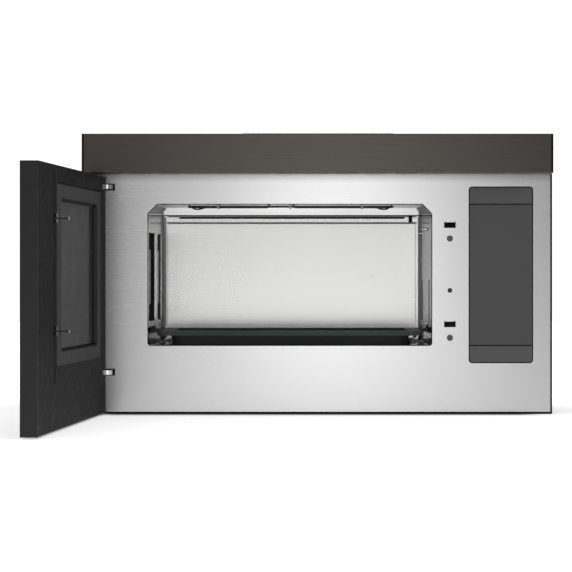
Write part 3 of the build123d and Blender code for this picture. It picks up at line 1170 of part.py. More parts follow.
with BuildPart() as stirrer_antenna:
    rod("Z", (CAVITY_X, STIRRER_Y, sum(stirrer_z) / 2), STIRRER_R, STIRRER_T)
    with BuildSketch(Plane.XY.offset(stirrer_z[0])):
        with Locations((CAVITY_X, STIRRER_Y)):
            with PolarLocations(STIRRER_R * 0.62, STIRRER_SLOTS):
                SlotOverall(STIRRER_R * 0.55, STIRRER_SLOT_WIDTH, rotation=90)
    extrude(amount=STIRRER_T, mode=Mode.SUBTRACT)
    hub_z = (motor_top + STIRRER_SHAFT_RISE, stirrer_z[0])
    rod("Z", (CAVITY_X, STIRRER_Y, sum(hub_z) / 2), STIRRER_SHAFT_R + STIRRER_HUB_WALL, hub_z[1] - hub_z[0])
    rod("Z", (CAVITY_X, STIRRER_Y, RECESS_Z), STIRRER_SHAFT_R + PIN_RUN, 4 * GUIDE_HEIGHT, Mode.SUBTRACT)
save(stirrer_antenna, "stirrer_antenna")

fan_x = (FAN_X, FAN_X + FAN_T)
fan_middle = (STIRRER_Y, FAN_Z)
with BuildPart() as cooling_fan_frame:
    frame_span_y = (STIRRER_Y - FAN_SIZE / 2, STIRRER_Y + FAN_SIZE / 2)
    span_box(fan_x, frame_span_y, (FAN_Z - FAN_SIZE / 2, FAN_Z + FAN_SIZE / 2))
    rod("X", (FAN_X, *fan_middle), FAN_SIZE / 2 - FAN_RIM, 4 * FAN_T, Mode.SUBTRACT)
    rod("X", (fan_x[1] - FAN_MOTOR[1] / 2, *fan_middle), *FAN_MOTOR)
    with Locations((fan_x[1] - FAN_ARM[1] / 2, *fan_middle)):
        Box(FAN_ARM[1], FAN_SIZE - FAN_RIM, FAN_ARM[0])
        Box(FAN_ARM[1], FAN_ARM[0], FAN_SIZE - FAN_RIM)
    rod("X", (sum(fan_x) / 2, *fan_middle), FAN_SHAFT_R, FAN_T - FAN_SHAFT_R)
save(cooling_fan_frame, "cooling_fan_frame")

with BuildPart() as cooling_fan_blade:
    blade_x = (FAN_X + FAN_SHAFT_R, fan_x[1] - FAN_MOTOR[1] - FAN_SHAFT_R)
    rod("X", (sum(blade_x) / 2, *fan_middle), FAN_HUB_R, blade_x[1] - blade_x[0])
    with Locations(Plane((sum(blade_x) / 2, *fan_middle), z_dir=(1, 0, 0))):
        with PolarLocations(FAN_BLADE_AT - FAN_BLADE[0] / 2 + FAN_HUB_R / 2, FAN_BLADES):
            Box(*FAN_BLADE, rotation=(FAN_TILT, 0, 0))
    rod("X", (FAN_X, *fan_middle), FAN_SHAFT_R + PIN_RUN, 4 * FAN_T, Mode.SUBTRACT)
save(cooling_fan_blade, "cooling_fan_blade")

board_top = BOARD_LIFT + BOARD_T
with BuildPart() as inverter_board:
    board_x = (CAVITY_RIGHT + INVERTER_SIDES[0], HALF - INVERTER_SIDES[1])
    board_y = (FACE_Y + INVERTER_FRONT[0], FACE_Y + INVERTER_FRONT[1])
    span_box(board_x, board_y, (BOARD_LIFT, board_top))
    for x in shrink(board_x, BOARD_POST_IN):
        for y in shrink(board_y, BOARD_POST_IN):
            rod("Z", (x, y, (BASE_T + BOARD_LIFT) / 2), BOARD_POST_R, BOARD_LIFT - BASE_T)
    sink_x = (board_x[0] + BOARD_POST_IN, board_x[0] + BOARD_POST_IN + HEAT_SINK[0])
    span_box(sink_x, shrink(board_y, BOARD_POST_IN), (BOARD_LIFT, BOARD_LIFT + HEAT_SINK[1]))
    core_x = (board_x[0] + TRANSFORMER_AT[0], board_x[0] + TRANSFORMER_AT[0] + TRANSFORMER[0])
    core_y = (board_y[0] + TRANSFORMER_AT[1], board_y[0] + TRANSFORMER_AT[1] + TRANSFORMER[1])
    span_box(core_x, core_y, (BOARD_LIFT, BOARD_LIFT + TRANSFORMER[2]))
    can_x = board_x[1] - CAPACITOR_AT[0]
    for along in CAPACITOR_AT[1:]:
        rod("Z", (can_x, board_y[0] + along, BOARD_LIFT + CAPACITOR[1] / 2), *CAPACITOR)
save(inverter_board, "inverter_board")

with BuildPart() as control_board:
    board_z = shrink(MODULE_Z, CONTROL_ENDS)
    plate_y = FRAME_BACK + CONTROL_LIFT
    span_box(shrink(MODULE_X, CONTROL_SIDES), (plate_y, plate_y + BOARD_T), board_z)
    for z in shrink(board_z, BOARD_POST_IN):
        for x in shrink(MODULE_X, CONTROL_SIDES + BOARD_POST_IN):
            rod("Y", (x, FRAME_BACK + CONTROL_LIFT / 2, z), BOARD_POST_R, CONTROL_LIFT)
    middle_x = sum(MODULE_X) / 2
    relay_z = (board_z[0] + CONTROL_ENDS, board_z[0] + CONTROL_ENDS + RELAY[2])
    span_box((middle_x - RELAY[0], middle_x), (plate_y, plate_y + RELAY[1]), relay_z)
    chip_z = (board_z[1] - CONTROL_ENDS - CHIP[2], board_z[1] - CONTROL_ENDS)
    span_box((middle_x, middle_x + CHIP[0]), (plate_y, plate_y + CHIP[1]), chip_z)
save(control_board, "control_board")

# Latch support and interlock switches behind the slots
bracket_x = (LATCH_X - BRACKET_WIDTH / 2, LATCH_X + BRACKET_WIDTH / 2)
with BuildPart() as interlock_bracket:
    bracket_z = (HOOK_Z[1] - BRACKET_OVER, HOOK_Z[0] + BRACKET_OVER)
    span_box(bracket_x, (FRAME_BACK, FRAME_BACK + BRACKET_DEPTH), bracket_z)
    bracket_y = (FRAME_BACK + BRACKET_WALL, FRAME_BACK + BRACKET_DEPTH + OVERSHOOT)
    span_box(shrink(bracket_x, BRACKET_WALL), bracket_y, shrink(bracket_z, BRACKET_WALL), Mode.SUBTRACT)
    for z in HOOK_Z:
        window_x = (LATCH_X - LATCH_SLOT[0] / 2 - 2 * FIT_GAP, LATCH_X + LATCH_SLOT[0] / 2 + 2 * FIT_GAP)
        window_z = (z - LATCH_SLOT[1] / 2 - 2 * FIT_GAP, z + LATCH_SLOT[1] / 2 + 2 * FIT_GAP)
        span_box(window_x, (FRAME_BACK - OVERSHOOT, bracket_y[0] + OVERSHOOT), window_z, Mode.SUBTRACT)
    rod("Y", (LATCH_X, FRAME_BACK, SCREW_Z), SCREW_R + TOUCH, 3 * BRACKET_WALL, Mode.SUBTRACT)
save(interlock_bracket, "interlock_bracket")

with BuildPart() as interlock_switches:
    for z in HOOK_Z:
        for side in (-1, 1):
            level = z + side * SWITCH_OFFSET
            switch_y = (FRAME_BACK + SWITCH_DEPTH[0], FRAME_BACK + SWITCH_DEPTH[1])
            switch_z = (level - SWITCH_HEIGHT / 2, level + SWITCH_HEIGHT / 2)
            span_box(shrink(bracket_x, BRACKET_WALL), switch_y, switch_z)
save(interlock_switches, "interlock_switches")

# Hinge arms with their pins
with BuildPart() as hinge_arms:
    for z in ARM_Z:
        with BuildSketch(Plane.XY.offset(z - ARM_HEIGHT / 2)):
            with BuildLine():
                FilletPolyline(
                    (arm_out - ARM_T / 2, FACE_Y + ARM_ROOT),
                    (arm_out - ARM_T / 2, PIVOT_Y),
                    (PIVOT_X, PIVOT_Y),
                    radius=ARM_BEND_R,
                )
                offset(amount=ARM_T / 2, side=Side.BOTH)
            make_face()
            with Locations((PIVOT_X, PIVOT_Y)):
                Circle(ARM_EYE_R)
        extrude(amount=ARM_HEIGHT)
        base_x = (arm_out - ARM_BASE_REACH[0], arm_out + ARM_BASE_REACH[1])
        base_z = (z - ARM_BASE / 2, z + ARM_BASE / 2)
        span_box(base_x, (FACE_Y + ARM_ROOT, FACE_Y + ARM_ROOT + ARM_BASE_T), base_z)
        span_box((base_x[0], base_x[0] + ARM_BASE_T), (FRAME_BACK, FACE_Y + ARM_ROOT), base_z)
        rod("Z", (PIVOT_X, PIVOT_Y, z), PIN_R, PIN_LENGTH)
save(hinge_arms, "hinge_arms")


# Door
def door_outline(inset, v_low, v_high):
    """The door's plan outline moved in by inset, with its rounded inner corner at the hinge."""
    with BuildSketch(DOOR_PLAN.offset(DOOR_BOTTOM + inset)) as outline:
        with BuildLine():
            FilletPolyline(
                (DOOR_WIDTH - inset, -v_low),
                (inset, -v_low),
                (inset, -v_high),
                radius=HINGE_CORNER_R - inset,
            )
            Polyline((inset, -v_high), (DOOR_WIDTH - inset, -v_high), (DOOR_WIDTH - inset, -v_low))
        make_face()
    return outline.sketch


def arm_pockets(mode=Mode.SUBTRACT):
    """The two pockets that the hinge arms swing in."""
    for z in ARM_Z:
        reach = (z - ARM_POCKET_HEIGHT / 2, z + ARM_POCKET_HEIGHT / 2)
        door_box((-OVERSHOOT, ARM_POCKET_U), (-OVERSHOOT, WALL_BACK), reach, mode)


glass_u = (TRIM_SIDE, DOOR_WIDTH - TRIM_SIDE)
glass_z = (DOOR_BOTTOM + TRIM_ENDS, DOOR_TOP - TRIM_ENDS)
inside_z = shrink((DOOR_BOTTOM, DOOR_TOP), SHELL_T)
inside_u = shrink((0, DOOR_WIDTH), SHELL_T)

with BuildPart() as door_shell:
    extrude(door_outline(0, 0, DOOR_T), amount=DOOR_HEIGHT)
    extrude(door_outline(SHELL_T, SHELL_T, WALL_BACK), amount=DOOR_HEIGHT - 2 * SHELL_T, mode=Mode.SUBTRACT)
    door_box((HINGE_CORNER_R, inside_u[1]), (-OVERSHOOT, SHELL_T + TOUCH), inside_z, Mode.SUBTRACT)
    door_box(glass_u, (WALL_BACK - OVERSHOOT, DOOR_T + OVERSHOOT), glass_z, Mode.SUBTRACT)
    arm_pockets()
save(door_shell, "door_shell")

with BuildPart() as door_front_glass:
    door_box(shrink(glass_u, FIT_GAP / 2), (DOOR_T - FRONT_GLASS_T, DOOR_T), shrink(glass_z, FIT_GAP / 2))
save(door_front_glass, "door_front_glass")

bar_u = (LATCH_U - LATCH_BAR[0] / 2, LATCH_U + LATCH_BAR[0] / 2)
bar_v = (LATCH_BAR_DEPTH, LATCH_BAR_DEPTH + LATCH_BAR[1])
mouth_u = (LATCH_U - HOOK_MOUTH[0] / 2, LATCH_U + HOOK_MOUTH[0] / 2)
guard_u = (mouth_u[0] - FIT_GAP - GUARD_T, mouth_u[0] - FIT_GAP)
seat_z = (GREY_PANEL_Z[0] - FIT_GAP, GREY_PANEL_Z[1] + GREY_PANEL_TOP_GAP)
lip_u = shrink(WINDOW_U, -WINDOW_LIP_T)


def door_bar(section, u):
    """A bar along the door's width, drawn as corners of depth and height."""
    end = Plane(origin=DOOR.from_local_coords(Vector(u[0], 0, 0)), x_dir=DOOR_V, z_dir=-DOOR_U)
    with BuildSketch(end) as outline:
        with BuildLine():
            Polyline(*section, close=True)
        make_face()
    extrude(outline.sketch, amount=u[0] - u[1])


with BuildPart() as door_inner_frame:
    frame_u = (HINGE_CORNER_R, inside_u[1] - TOUCH)
    door_box(frame_u, (0, INNER_T), shrink(inside_z, TOUCH))
    door_box(shrink(GREY_PANEL_U, -FIT_GAP), (-OVERSHOOT, GREY_PANEL_SEAT), seat_z, Mode.SUBTRACT)
    door_box(shrink(lip_u, -FIT_GAP), (-OVERSHOOT, WINDOW_DEPTH), WINDOW_Z, Mode.SUBTRACT)
    front_v = FIT_GAP - GREY_PANEL_PROUD
    for edge, way in ((WINDOW_Z[0], 1), (WINDOW_Z[1], -1)):
        slope = [
            (front_v, edge + way * FIT_GAP / 2),
            (front_v, edge + way * WINDOW_EDGE_T),
            (WINDOW_DEPTH, edge + way * WINDOW_SLOPE),
            (WINDOW_DEPTH, edge - way * WINDOW_WALL),
            (GREY_PANEL_SEAT + TOUCH, edge - way * WINDOW_WALL),
            (GREY_PANEL_SEAT + TOUCH, edge + way * FIT_GAP / 2),
        ]
        door_bar(slope, shrink(WINDOW_U, FIT_GAP))
    for z in HOOK_Z:
        mouth_z = (z - HOOK_MOUTH[1] / 2, z + HOOK_MOUTH[1] / 2)
        door_box(mouth_u, (-OVERSHOOT, INNER_T + OVERSHOOT), mouth_z, Mode.SUBTRACT)
        door_box(guard_u, (-GUARD_BASE, TOUCH), mouth_z)
    low_part = (RIB_Z[0], HOOK_Z[1] - HOOK_MOUTH[1])
    middle_part = (HOOK_Z[1] + HOOK_MOUTH[1], HOOK_Z[0] - HOOK_MOUTH[1])
    for part_z in (low_part, middle_part):
        door_box((LATCH_U - RIB_WIDTH / 2, LATCH_U + RIB_WIDTH / 2), (-RIB_PROUD, TOUCH), part_z)
    last_z = (HOOK_Z[0] + HOOK_MOUTH[1], RIB_Z[1])
    door_box((LATCH_U - RIB_WIDTH / 2, LATCH_U + RIB_WIDTH / 2), (-RIB_PROUD, TOUCH), last_z)
    post_z = (HOOK_Z[1] - BAR_OVER - SPRING_LENGTH - SPRING_POST, HOOK_Z[1] - BAR_OVER - SPRING_LENGTH)
    door_box(bar_u, (INNER_T, bar_v[1]), post_z)
    for z in (sum(HOOK_Z) / 2 - GUIDE_SPREAD / 2, sum(HOOK_Z) / 2 + GUIDE_SPREAD / 2):
        guide_z = (z - GUIDE_LENGTH / 2, z + GUIDE_LENGTH / 2)
        around_u = shrink(bar_u, -FIT_GAP)
        around_v = shrink(bar_v, -FIT_GAP)
        door_box(shrink(around_u, -GUIDE_WALL), (INNER_T, around_v[1] + GUIDE_WALL), guide_z)
        door_box(around_u, around_v, guide_z, Mode.SUBTRACT)
    arm_pockets()
save(door_inner_frame, "door_inner_frame")

with BuildPart() as door_inner_panel:
    door_box(GREY_PANEL_U, (-GREY_PANEL_PROUD, GREY_PANEL_SEAT), GREY_PANEL_Z)
    fillet(door_inner_panel.edges().filter_by(Axis(DOOR.origin, DOOR_V)), GREY_PANEL_R)
    deep_z = shrink(WINDOW_Z, WINDOW_SLOPE)
    door_box(lip_u, (GREY_PANEL_SEAT - TOUCH, WINDOW_DEPTH), deep_z)
    door_box(WINDOW_U, (-2 * GREY_PANEL_PROUD, WINDOW_DEPTH + OVERSHOOT), deep_z, Mode.SUBTRACT)
    door_box(WINDOW_U, (-2 * GREY_PANEL_PROUD, GREY_PANEL_SEAT + OVERSHOOT), WINDOW_Z, Mode.SUBTRACT)
save(door_inner_panel, "door_inner_panel")

pane_v = (WINDOW_DEPTH, WINDOW_DEPTH + PANE_T)
with BuildPart() as window_pane:
    door_box(shrink(WINDOW_U, -PANE_LAP), pane_v, shrink(WINDOW_Z, -PANE_LAP))
save(window_pane, "window_pane")

screen_v = (pane_v[1], pane_v[1] + SCREEN_SHEET_T)
with BuildPart() as window_screen:
    door_box(shrink(WINDOW_U, -PANE_LAP), screen_v, shrink(WINDOW_Z, -PANE_LAP))
save(window_screen, "window_screen")

choke_v = (INNER_T, DOOR_T - FRONT_GLASS_T)
with BuildPart() as choke_frame:
    choke_u = shrink(WINDOW_U, -PANE_LAP - FIT_GAP)
    choke_z = shrink(WINDOW_Z, -PANE_LAP - FIT_GAP)
    door_box(shrink(choke_u, -CHOKE_WIDTH), choke_v, shrink(choke_z, -CHOKE_WIDTH))
    ring_u = shrink(choke_u, CHOKE_WALL - CHOKE_WIDTH)
    ring_z = shrink(choke_z, CHOKE_WALL - CHOKE_WIDTH)
    door_box(ring_u, (INNER_T - OVERSHOOT, choke_v[1] - CHOKE_WALL), ring_z, Mode.SUBTRACT)
    door_box(shrink(choke_u, -CHOKE_WALL), (INNER_T, choke_v[1]), shrink(choke_z, -CHOKE_WALL))
    door_box(choke_u, (INNER_T - OVERSHOOT, DOOR_T), choke_z, Mode.SUBTRACT)
save(choke_frame, "choke_frame")

block_v = (INNER_T + FIT_GAP, WALL_BACK)
with BuildPart() as door_hinge_blocks:
    for z in ARM_Z:
        door_box(BLOCK_U, block_v, (z - BLOCK_REACH[0], z + BLOCK_REACH[1]))
    arm_pockets()
    for z in ARM_Z:
        door_pin((z - PIN_LENGTH / 2 - FIT_GAP, z + PIN_LENGTH / 2 + FIT_GAP), PIN_R + PIN_RUN)
save(door_hinge_blocks, "door_hinge_blocks")

# Latch: one bar in the door carries both hooks and slides upwards against its spring
with BuildPart() as latch_hooks:
    door_box(bar_u, bar_v, (HOOK_Z[1] - BAR_OVER, HOOK_Z[0] + BAR_OVER))
    for z in HOOK_Z:
        hook_u = (LATCH_U - HOOK_WIDTH / 2, LATCH_U + HOOK_WIDTH / 2)
        middle = z - HOOK_SINK
        door_box(hook_u, (HOOK_NOSE_R - HOOK_REACH, bar_v[1]), (middle - HOOK_T / 2, middle + HOOK_T / 2))
        nose = DOOR.from_local_coords(Vector(hook_u[0], middle, HOOK_NOSE_R - HOOK_REACH))
        with BuildSketch(Plane(origin=nose, x_dir=DOOR_V, z_dir=DOOR_U)):
            Circle(HOOK_NOSE_R)
        extrude(amount=HOOK_WIDTH)
save(latch_hooks, "latch_hooks")

with BuildPart() as hook_guides:
    for z in HOOK_Z:
        door_box(guard_u, (-GUARD_PROUD, -GUARD_BASE), (z - HOOK_MOUTH[1] / 2, z + HOOK_MOUTH[1] / 2))
save(hook_guides, "hook_guides")

spring_low = HOOK_Z[1] - BAR_OVER - SPRING_LENGTH
with BuildPart() as latch_spring:
    spring_base = DOOR_PLAN.offset(spring_low + SPRING_WIRE_R).shift_origin(
        DOOR.from_local_coords(Vector(LATCH_U, spring_low + SPRING_WIRE_R, sum(bar_v) / 2))
    )
    with BuildLine(spring_base) as coil:
        Helix(SPRING_PITCH, SPRING_LENGTH - 2 * SPRING_WIRE_R, SPRING_R)
    with BuildSketch(Plane(coil.line @ 0, z_dir=coil.line % 0)):
        Circle(SPRING_WIRE_R)
    sweep()
save(latch_spring, "latch_spring")
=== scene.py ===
import json
from math import cos, pi, radians, sin

import bmesh
import bpy
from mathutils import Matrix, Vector


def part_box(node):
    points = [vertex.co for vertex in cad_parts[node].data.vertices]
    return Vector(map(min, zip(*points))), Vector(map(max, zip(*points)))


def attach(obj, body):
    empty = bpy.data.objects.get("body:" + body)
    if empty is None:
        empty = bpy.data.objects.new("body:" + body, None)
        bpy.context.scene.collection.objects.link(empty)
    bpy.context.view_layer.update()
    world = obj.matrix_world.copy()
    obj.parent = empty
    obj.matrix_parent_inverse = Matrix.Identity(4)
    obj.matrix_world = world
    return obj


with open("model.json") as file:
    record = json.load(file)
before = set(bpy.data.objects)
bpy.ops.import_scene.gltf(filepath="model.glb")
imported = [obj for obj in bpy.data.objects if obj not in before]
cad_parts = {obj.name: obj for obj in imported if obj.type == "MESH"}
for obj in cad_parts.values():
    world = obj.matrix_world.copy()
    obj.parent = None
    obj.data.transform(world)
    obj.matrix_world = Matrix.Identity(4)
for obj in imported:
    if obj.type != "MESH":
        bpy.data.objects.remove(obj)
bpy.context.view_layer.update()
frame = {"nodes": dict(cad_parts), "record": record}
nodes = frame["nodes"]

# All sizes are in metres. The object stands with its back on the wall plane y = 0 and faces -Y.
FACE_Y = -0.375

# The oven cavity: left, right, bottom and top of its mouth, its slanted and round corners, and its side walls' draft
MOUTH = (-0.27525, 0.18575, 0.110, 0.340)
MOUTH_SLANT = 0.0155
SLANT_SHRINK = 0.586
MOUTH_R = 0.005
BACK_Y = -0.040
DRAFT = 0.0065 / 0.335


# Shader nodes
NOISE_ROUGHNESS = 0.55
NOISE_MIDDLE = (0.3, 0.7)


def new_material(name):
    """A material with a principled shader; returns it with its node tree and shader."""
    material = bpy.data.materials.new(name)
    material.use_nodes = True
    tree = material.node_tree
    return material, tree, tree.nodes["Principled BSDF"]


def coordinates(tree, output):
    """A texture coordinate."""
    return tree.nodes.new("ShaderNodeTexCoord").outputs[output]


def axes(tree, vector):
    """The three parts of a vector."""
    split = tree.nodes.new("ShaderNodeSeparateXYZ")
    tree.links.new(vector, split.inputs["Vector"])
    return split.outputs


def combine(tree, operation, first, second):
    """A math node of two values, each a socket or a number."""
    node = tree.nodes.new("ShaderNodeMath")
    node.operation = operation
    for socket, value in zip(node.inputs, (first, second)):
        if isinstance(value, (int, float)):
            socket.default_value = value
        else:
            tree.links.new(value, socket)
    return node.outputs["Value"]


def combine_vector(tree, operation, vector, operand=(0, 0, 0)):
    """A vector math node of a socket and three numbers; returns its outputs."""
    node = tree.nodes.new("ShaderNodeVectorMath")
    node.operation = operation
    node.inputs[1].default_value = operand
    tree.links.new(vector, node.inputs[0])
    return node.outputs


def tint(tree, colour, factor):
    """A colour, a socket or three numbers, multiplied by a factor that varies over the surface."""
    node = tree.nodes.new("ShaderNodeVectorMath")
    node.operation = "SCALE"
    if isinstance(colour, tuple):
        node.inputs[0].default_value = colour
    else:
        tree.links.new(colour, node.inputs[0])
    tree.links.new(factor, node.inputs["Scale"])
    return node.outputs["Vector"]


def map_range(tree, value, from_range, to_range, easing="SMOOTHSTEP"):
    """A value taken from one range to another."""
    node = tree.nodes.new("ShaderNodeMapRange")
    node.interpolation_type = easing
    for socket, number in zip(("From Min", "From Max", "To Min", "To Max"), from_range + to_range):
        node.inputs[socket].default_value = number
    tree.links.new(value, node.inputs["Value"])
    return node.outputs["Result"]


def vary(tree, texture, middle, share):
    """A number that a noise texture's middle values vary by a share of itself, up and down."""
    return map_range(tree, texture, NOISE_MIDDLE, ((1 - share) * middle, (1 + share) * middle), "LINEAR")


def noise(tree, scale, detail, stretch=(1, 1, 1)):
    """A noise texture in object coordinates, stretched along each axis."""
    mapping = tree.nodes.new("ShaderNodeMapping")
    mapping.inputs["Scale"].default_value = stretch
    texture = tree.nodes.new("ShaderNodeTexNoise")
    texture.inputs["Scale"].default_value = scale
    texture.inputs["Detail"].default_value = detail
    texture.inputs["Roughness"].default_value = NOISE_ROUGHNESS
    tree.links.new(coordinates(tree, "Object"), mapping.inputs["Vector"])
    tree.links.new(mapping.outputs["Vector"], texture.inputs["Vector"])
    return texture.outputs["Fac"]


def bump(tree, shader, height, strength, distance):
    """Bump from a height."""
    node = tree.nodes.new("ShaderNodeBump")
    node.inputs["Strength"].default_value = strength
    node.inputs["Distance"].default_value = distance
    tree.links.new(height, node.inputs["Height"])
    tree.links.new(node.outputs["Normal"], shader.inputs["Normal"])


def ray_kinds(tree):
    """One for camera rays, and one for glossy or transmission rays."""
    path = tree.nodes.new("ShaderNodeLightPath")
    bounce = combine(tree, "MAXIMUM", path.outputs["Is Glossy Ray"], path.outputs["Is Transmission Ray"])
    return path.outputs["Is Camera Ray"], bounce


# Materials
def brushed(name, colour, roughness, depth, sheen=0.0):
    """Metal with fine streaks along X, and very slow changes of tone and of roughness.

    A sheen above zero spreads reflections sideways and keeps them narrow upwards.
    """
    material, tree, shader = new_material(name)
    streak = noise(tree, scale=420.0, detail=3.0, stretch=(0.02, 1, 1))
    patch = noise(tree, scale=5.0, detail=3.0)
    tone = combine(tree, "MULTIPLY", vary(tree, streak, 1.0, depth), vary(tree, patch, 1.0, 0.007))
    rough = combine(tree, "MULTIPLY", vary(tree, patch, roughness, 0.01), vary(tree, streak, 1.0, 0.01))
    tree.links.new(tint(tree, colour, tone), shader.inputs["Base Color"])
    tree.links.new(rough, shader.inputs["Roughness"])
    shader.inputs["Metallic"].default_value = 1.0
    if sheen:
        tangent = tree.nodes.new("ShaderNodeTangent")
        tangent.direction_type = "RADIAL"
        tangent.axis = "Z"
        shader.inputs["Anisotropic"].default_value = sheen
        tree.links.new(tangent.outputs["Tangent"], shader.inputs["Tangent"])
    bump(tree, shader, streak, strength=0.05, distance=0.000005)
    return material


def metal(name, colour, roughness, grain=300.0, depth=0.05, cloud=0.05):
    """Plain sheet, plated or cast metal: fine grain, and slow changes of tone and of roughness."""
    material, tree, shader = new_material(name)
    fine = noise(tree, scale=grain, detail=3.0)
    patch = noise(tree, scale=9.0, detail=5.0)
    tone = combine(tree, "MULTIPLY", vary(tree, fine, 1.0, depth), vary(tree, patch, 1.0, cloud))
    tree.links.new(tint(tree, colour, tone), shader.inputs["Base Color"])
    tree.links.new(vary(tree, patch, roughness, 0.06), shader.inputs["Roughness"])
    shader.inputs["Metallic"].default_value = 1.0
    bump(tree, shader, fine, strength=0.3, distance=0.00002)
    return material


def coated(name, colour, roughness, grain=420.0, cloud=0.04, rise=0.00004, specular=0.5, coat=0.0):
    """Plastic, paint, enamel or rubber: a fine grain with faint marks of wear."""
    material, tree, shader = new_material(name)
    fine = noise(tree, scale=grain, detail=3.0)
    patch = noise(tree, scale=9.0, detail=5.0)
    wear = noise(tree, scale=60.0, detail=6.0)
    tree.links.new(tint(tree, colour, vary(tree, patch, 1.0, cloud)), shader.inputs["Base Color"])
    tree.links.new(vary(tree, wear, roughness, 0.07), shader.inputs["Roughness"])
    shader.inputs["Specular IOR Level"].default_value = specular
    shader.inputs["Coat Weight"].default_value = coat
    bump(tree, shader, fine, strength=0.5, distance=rise)
    return material


def tinted_glass(name, colour, roughness, transmission=0.0, specular=0.5):
    """Dark or frosted glass with faint smears."""
    material, tree, shader = new_material(name)
    smear = noise(tree, scale=16.0, detail=6.0, stretch=(1, 1, 3))
    fine = noise(tree, scale=300.0, detail=2.0)
    tree.links.new(tint(tree, colour, vary(tree, smear, 1.0, 0.03)), shader.inputs["Base Color"])
    tree.links.new(vary(tree, smear, roughness, 0.08), shader.inputs["Roughness"])
    shader.inputs["Transmission Weight"].default_value = transmission
    shader.inputs["Specular IOR Level"].default_value = specular
    bump(tree, shader, fine, strength=0.1, distance=0.00001)
    return material


# Painted shade on the face: darker from its left edge inwards, beside the hinges, and up to the band
HINGE_PAINTED_SHADE = ((-0.36, -0.305), (0.4, 1.0))
BAND_PAINTED_SHADE = ((0.3725, 0.3905), (1.0, 0.55))


def paint_face_shade(material):
    """Painted shade on the face beside the hinges and under the band: its colour is darkened there."""
    tree = material.node_tree
    colour = tree.nodes["Principled BSDF"].inputs["Base Color"]
    place = axes(tree, coordinates(tree, "Object"))
    beside = map_range(tree, place["X"], *HINGE_PAINTED_SHADE)
    under = map_range(tree, place["Z"], *BAND_PAINTED_SHADE)
    darker = tint(tree, colour.links[0].from_socket, combine(tree, "MULTIPLY", beside, under))
    tree.links.new(darker, colour)


# Each finish: how it is made, its colour, its roughness and what else sets it apart
FINISHES = {
    "face_steel": (brushed, (0.62, 0.62, 0.62), 0.27, dict(depth=0.02)),
    "dark_steel": (brushed, (0.090, 0.0845, 0.0755), 0.33, dict(depth=0.05)),
    "cavity_steel": (brushed, (0.85, 0.847, 0.843), 0.27, dict(depth=0.006, sheen=0.85)),
    # A lighter copy of cavity_steel for the ceiling: painted light that makes it brighter than the walls.
    "ceiling_lit_steel": (brushed, (0.96, 0.957, 0.953), 0.30, dict(depth=0.006, sheen=0.7)),
    "filter_aluminium": (brushed, (0.66, 0.665, 0.67), 0.38, dict(depth=0.05)),
    "door_skin": (brushed, (0.045, 0.045, 0.046), 0.42, dict(depth=0.04)),
    "bright_steel": (metal, (0.9, 0.9, 0.9), 0.12, dict(grain=400.0, depth=0.03, cloud=0.03)),
    "screen_steel": (metal, (0.30, 0.30, 0.30), 0.5, {}),
    "galvanised": (metal, (0.52, 0.53, 0.54), 0.42, dict(grain=60.0, depth=0.09, cloud=0.06)),
    "motor_steel": (metal, (0.22, 0.22, 0.23), 0.45, dict(grain=200.0)),
    "heater_steel": (metal, (0.045, 0.045, 0.044), 0.45, dict(depth=0.08, cloud=0.10)),
    "hinge_steel": (metal, (0.85, 0.85, 0.85), 0.20, dict(depth=0.03, cloud=0.03)),
    "screw_steel": (metal, (0.62, 0.62, 0.62), 0.25, dict(depth=0.04)),
    "guide_steel": (metal, (0.85, 0.85, 0.85), 0.25, dict(grain=400.0, depth=0.03, cloud=0.02)),
    # The next two colour the thin strips that paint shade on the cavity's back wall, corners and ceiling facets.
    "grey_shade_paint": (coated, (0.33, 0.33, 0.33), 0.5, dict(grain=300.0, cloud=0.03, rise=0.00002, specular=0.3)),
    "pale_shade_paint": (coated, (0.55, 0.55, 0.55), 0.5, dict(grain=300.0, cloud=0.05, rise=0.00002, specular=0.3)),
    "casing_paint": (coated, (0.022, 0.022, 0.0225), 0.5, dict(grain=260.0, cloud=0.05, rise=0.00006, specular=0.3)),
    "black_steel": (coated, (0.006, 0.006, 0.006), 0.5, dict(grain=300.0, cloud=0.03, specular=0.06)),
    "black_plastic": (coated, (0.0055, 0.0055, 0.0056), 0.55, dict(cloud=0.02, rise=0.00002, specular=0.03)),
    "grey_plastic": (coated, (0.075, 0.075, 0.077), 0.55, dict(cloud=0.02)),
    "cap_plastic": (coated, (0.098, 0.098, 0.100), 0.55, dict(cloud=0.02)),
    "grey_panel": (coated, (0.056, 0.056, 0.057), 0.6, dict(cloud=0.01, rise=0.00002, specular=0.05)),
    "grey_rubber": (coated, (0.115, 0.115, 0.115), 0.7, dict(grain=300.0, rise=0.00006, specular=0.3)),
    "hook_plastic": (coated, (0.03, 0.03, 0.03), 0.45, dict(grain=400.0, specular=0.2)),
    "tray_enamel": (coated, (0.066, 0.072, 0.069), 0.45, dict(grain=140.0, cloud=0.08, rise=0.00003, specular=0.12)),
    "dark_enamel": (coated, (0.03, 0.03, 0.03), 0.35, dict(grain=160.0, cloud=0.08, rise=0.00005, specular=0.4)),
    "ceramic_glass": (coated, (0.16, 0.16, 0.16), 0.15, dict(grain=200.0, cloud=0.05, rise=0.00002, coat=0.4)),
    "charcoal": (coated, (0.012, 0.012, 0.012), 0.9, dict(grain=500.0, cloud=0.25, rise=0.0006)),
    "board": (coated, (0.02, 0.09, 0.035), 0.45, dict(grain=200.0, cloud=0.10, rise=0.00006)),
    "lamp_glass": (tinted_glass, (0.75, 0.75, 0.73), 0.3, dict(transmission=0.3)),
    "dark_glass": (tinted_glass, (0.006, 0.006, 0.0065), 0.06, {}),
    "window_glass": (tinted_glass, (0.070, 0.070, 0.070), 0.5, dict(specular=0.05)),
}
MATERIALS = {
    name: make(name, colour, roughness, **more) for name, (make, colour, roughness, more) in FINISHES.items()
}
paint_face_shade(MATERIALS["face_steel"])

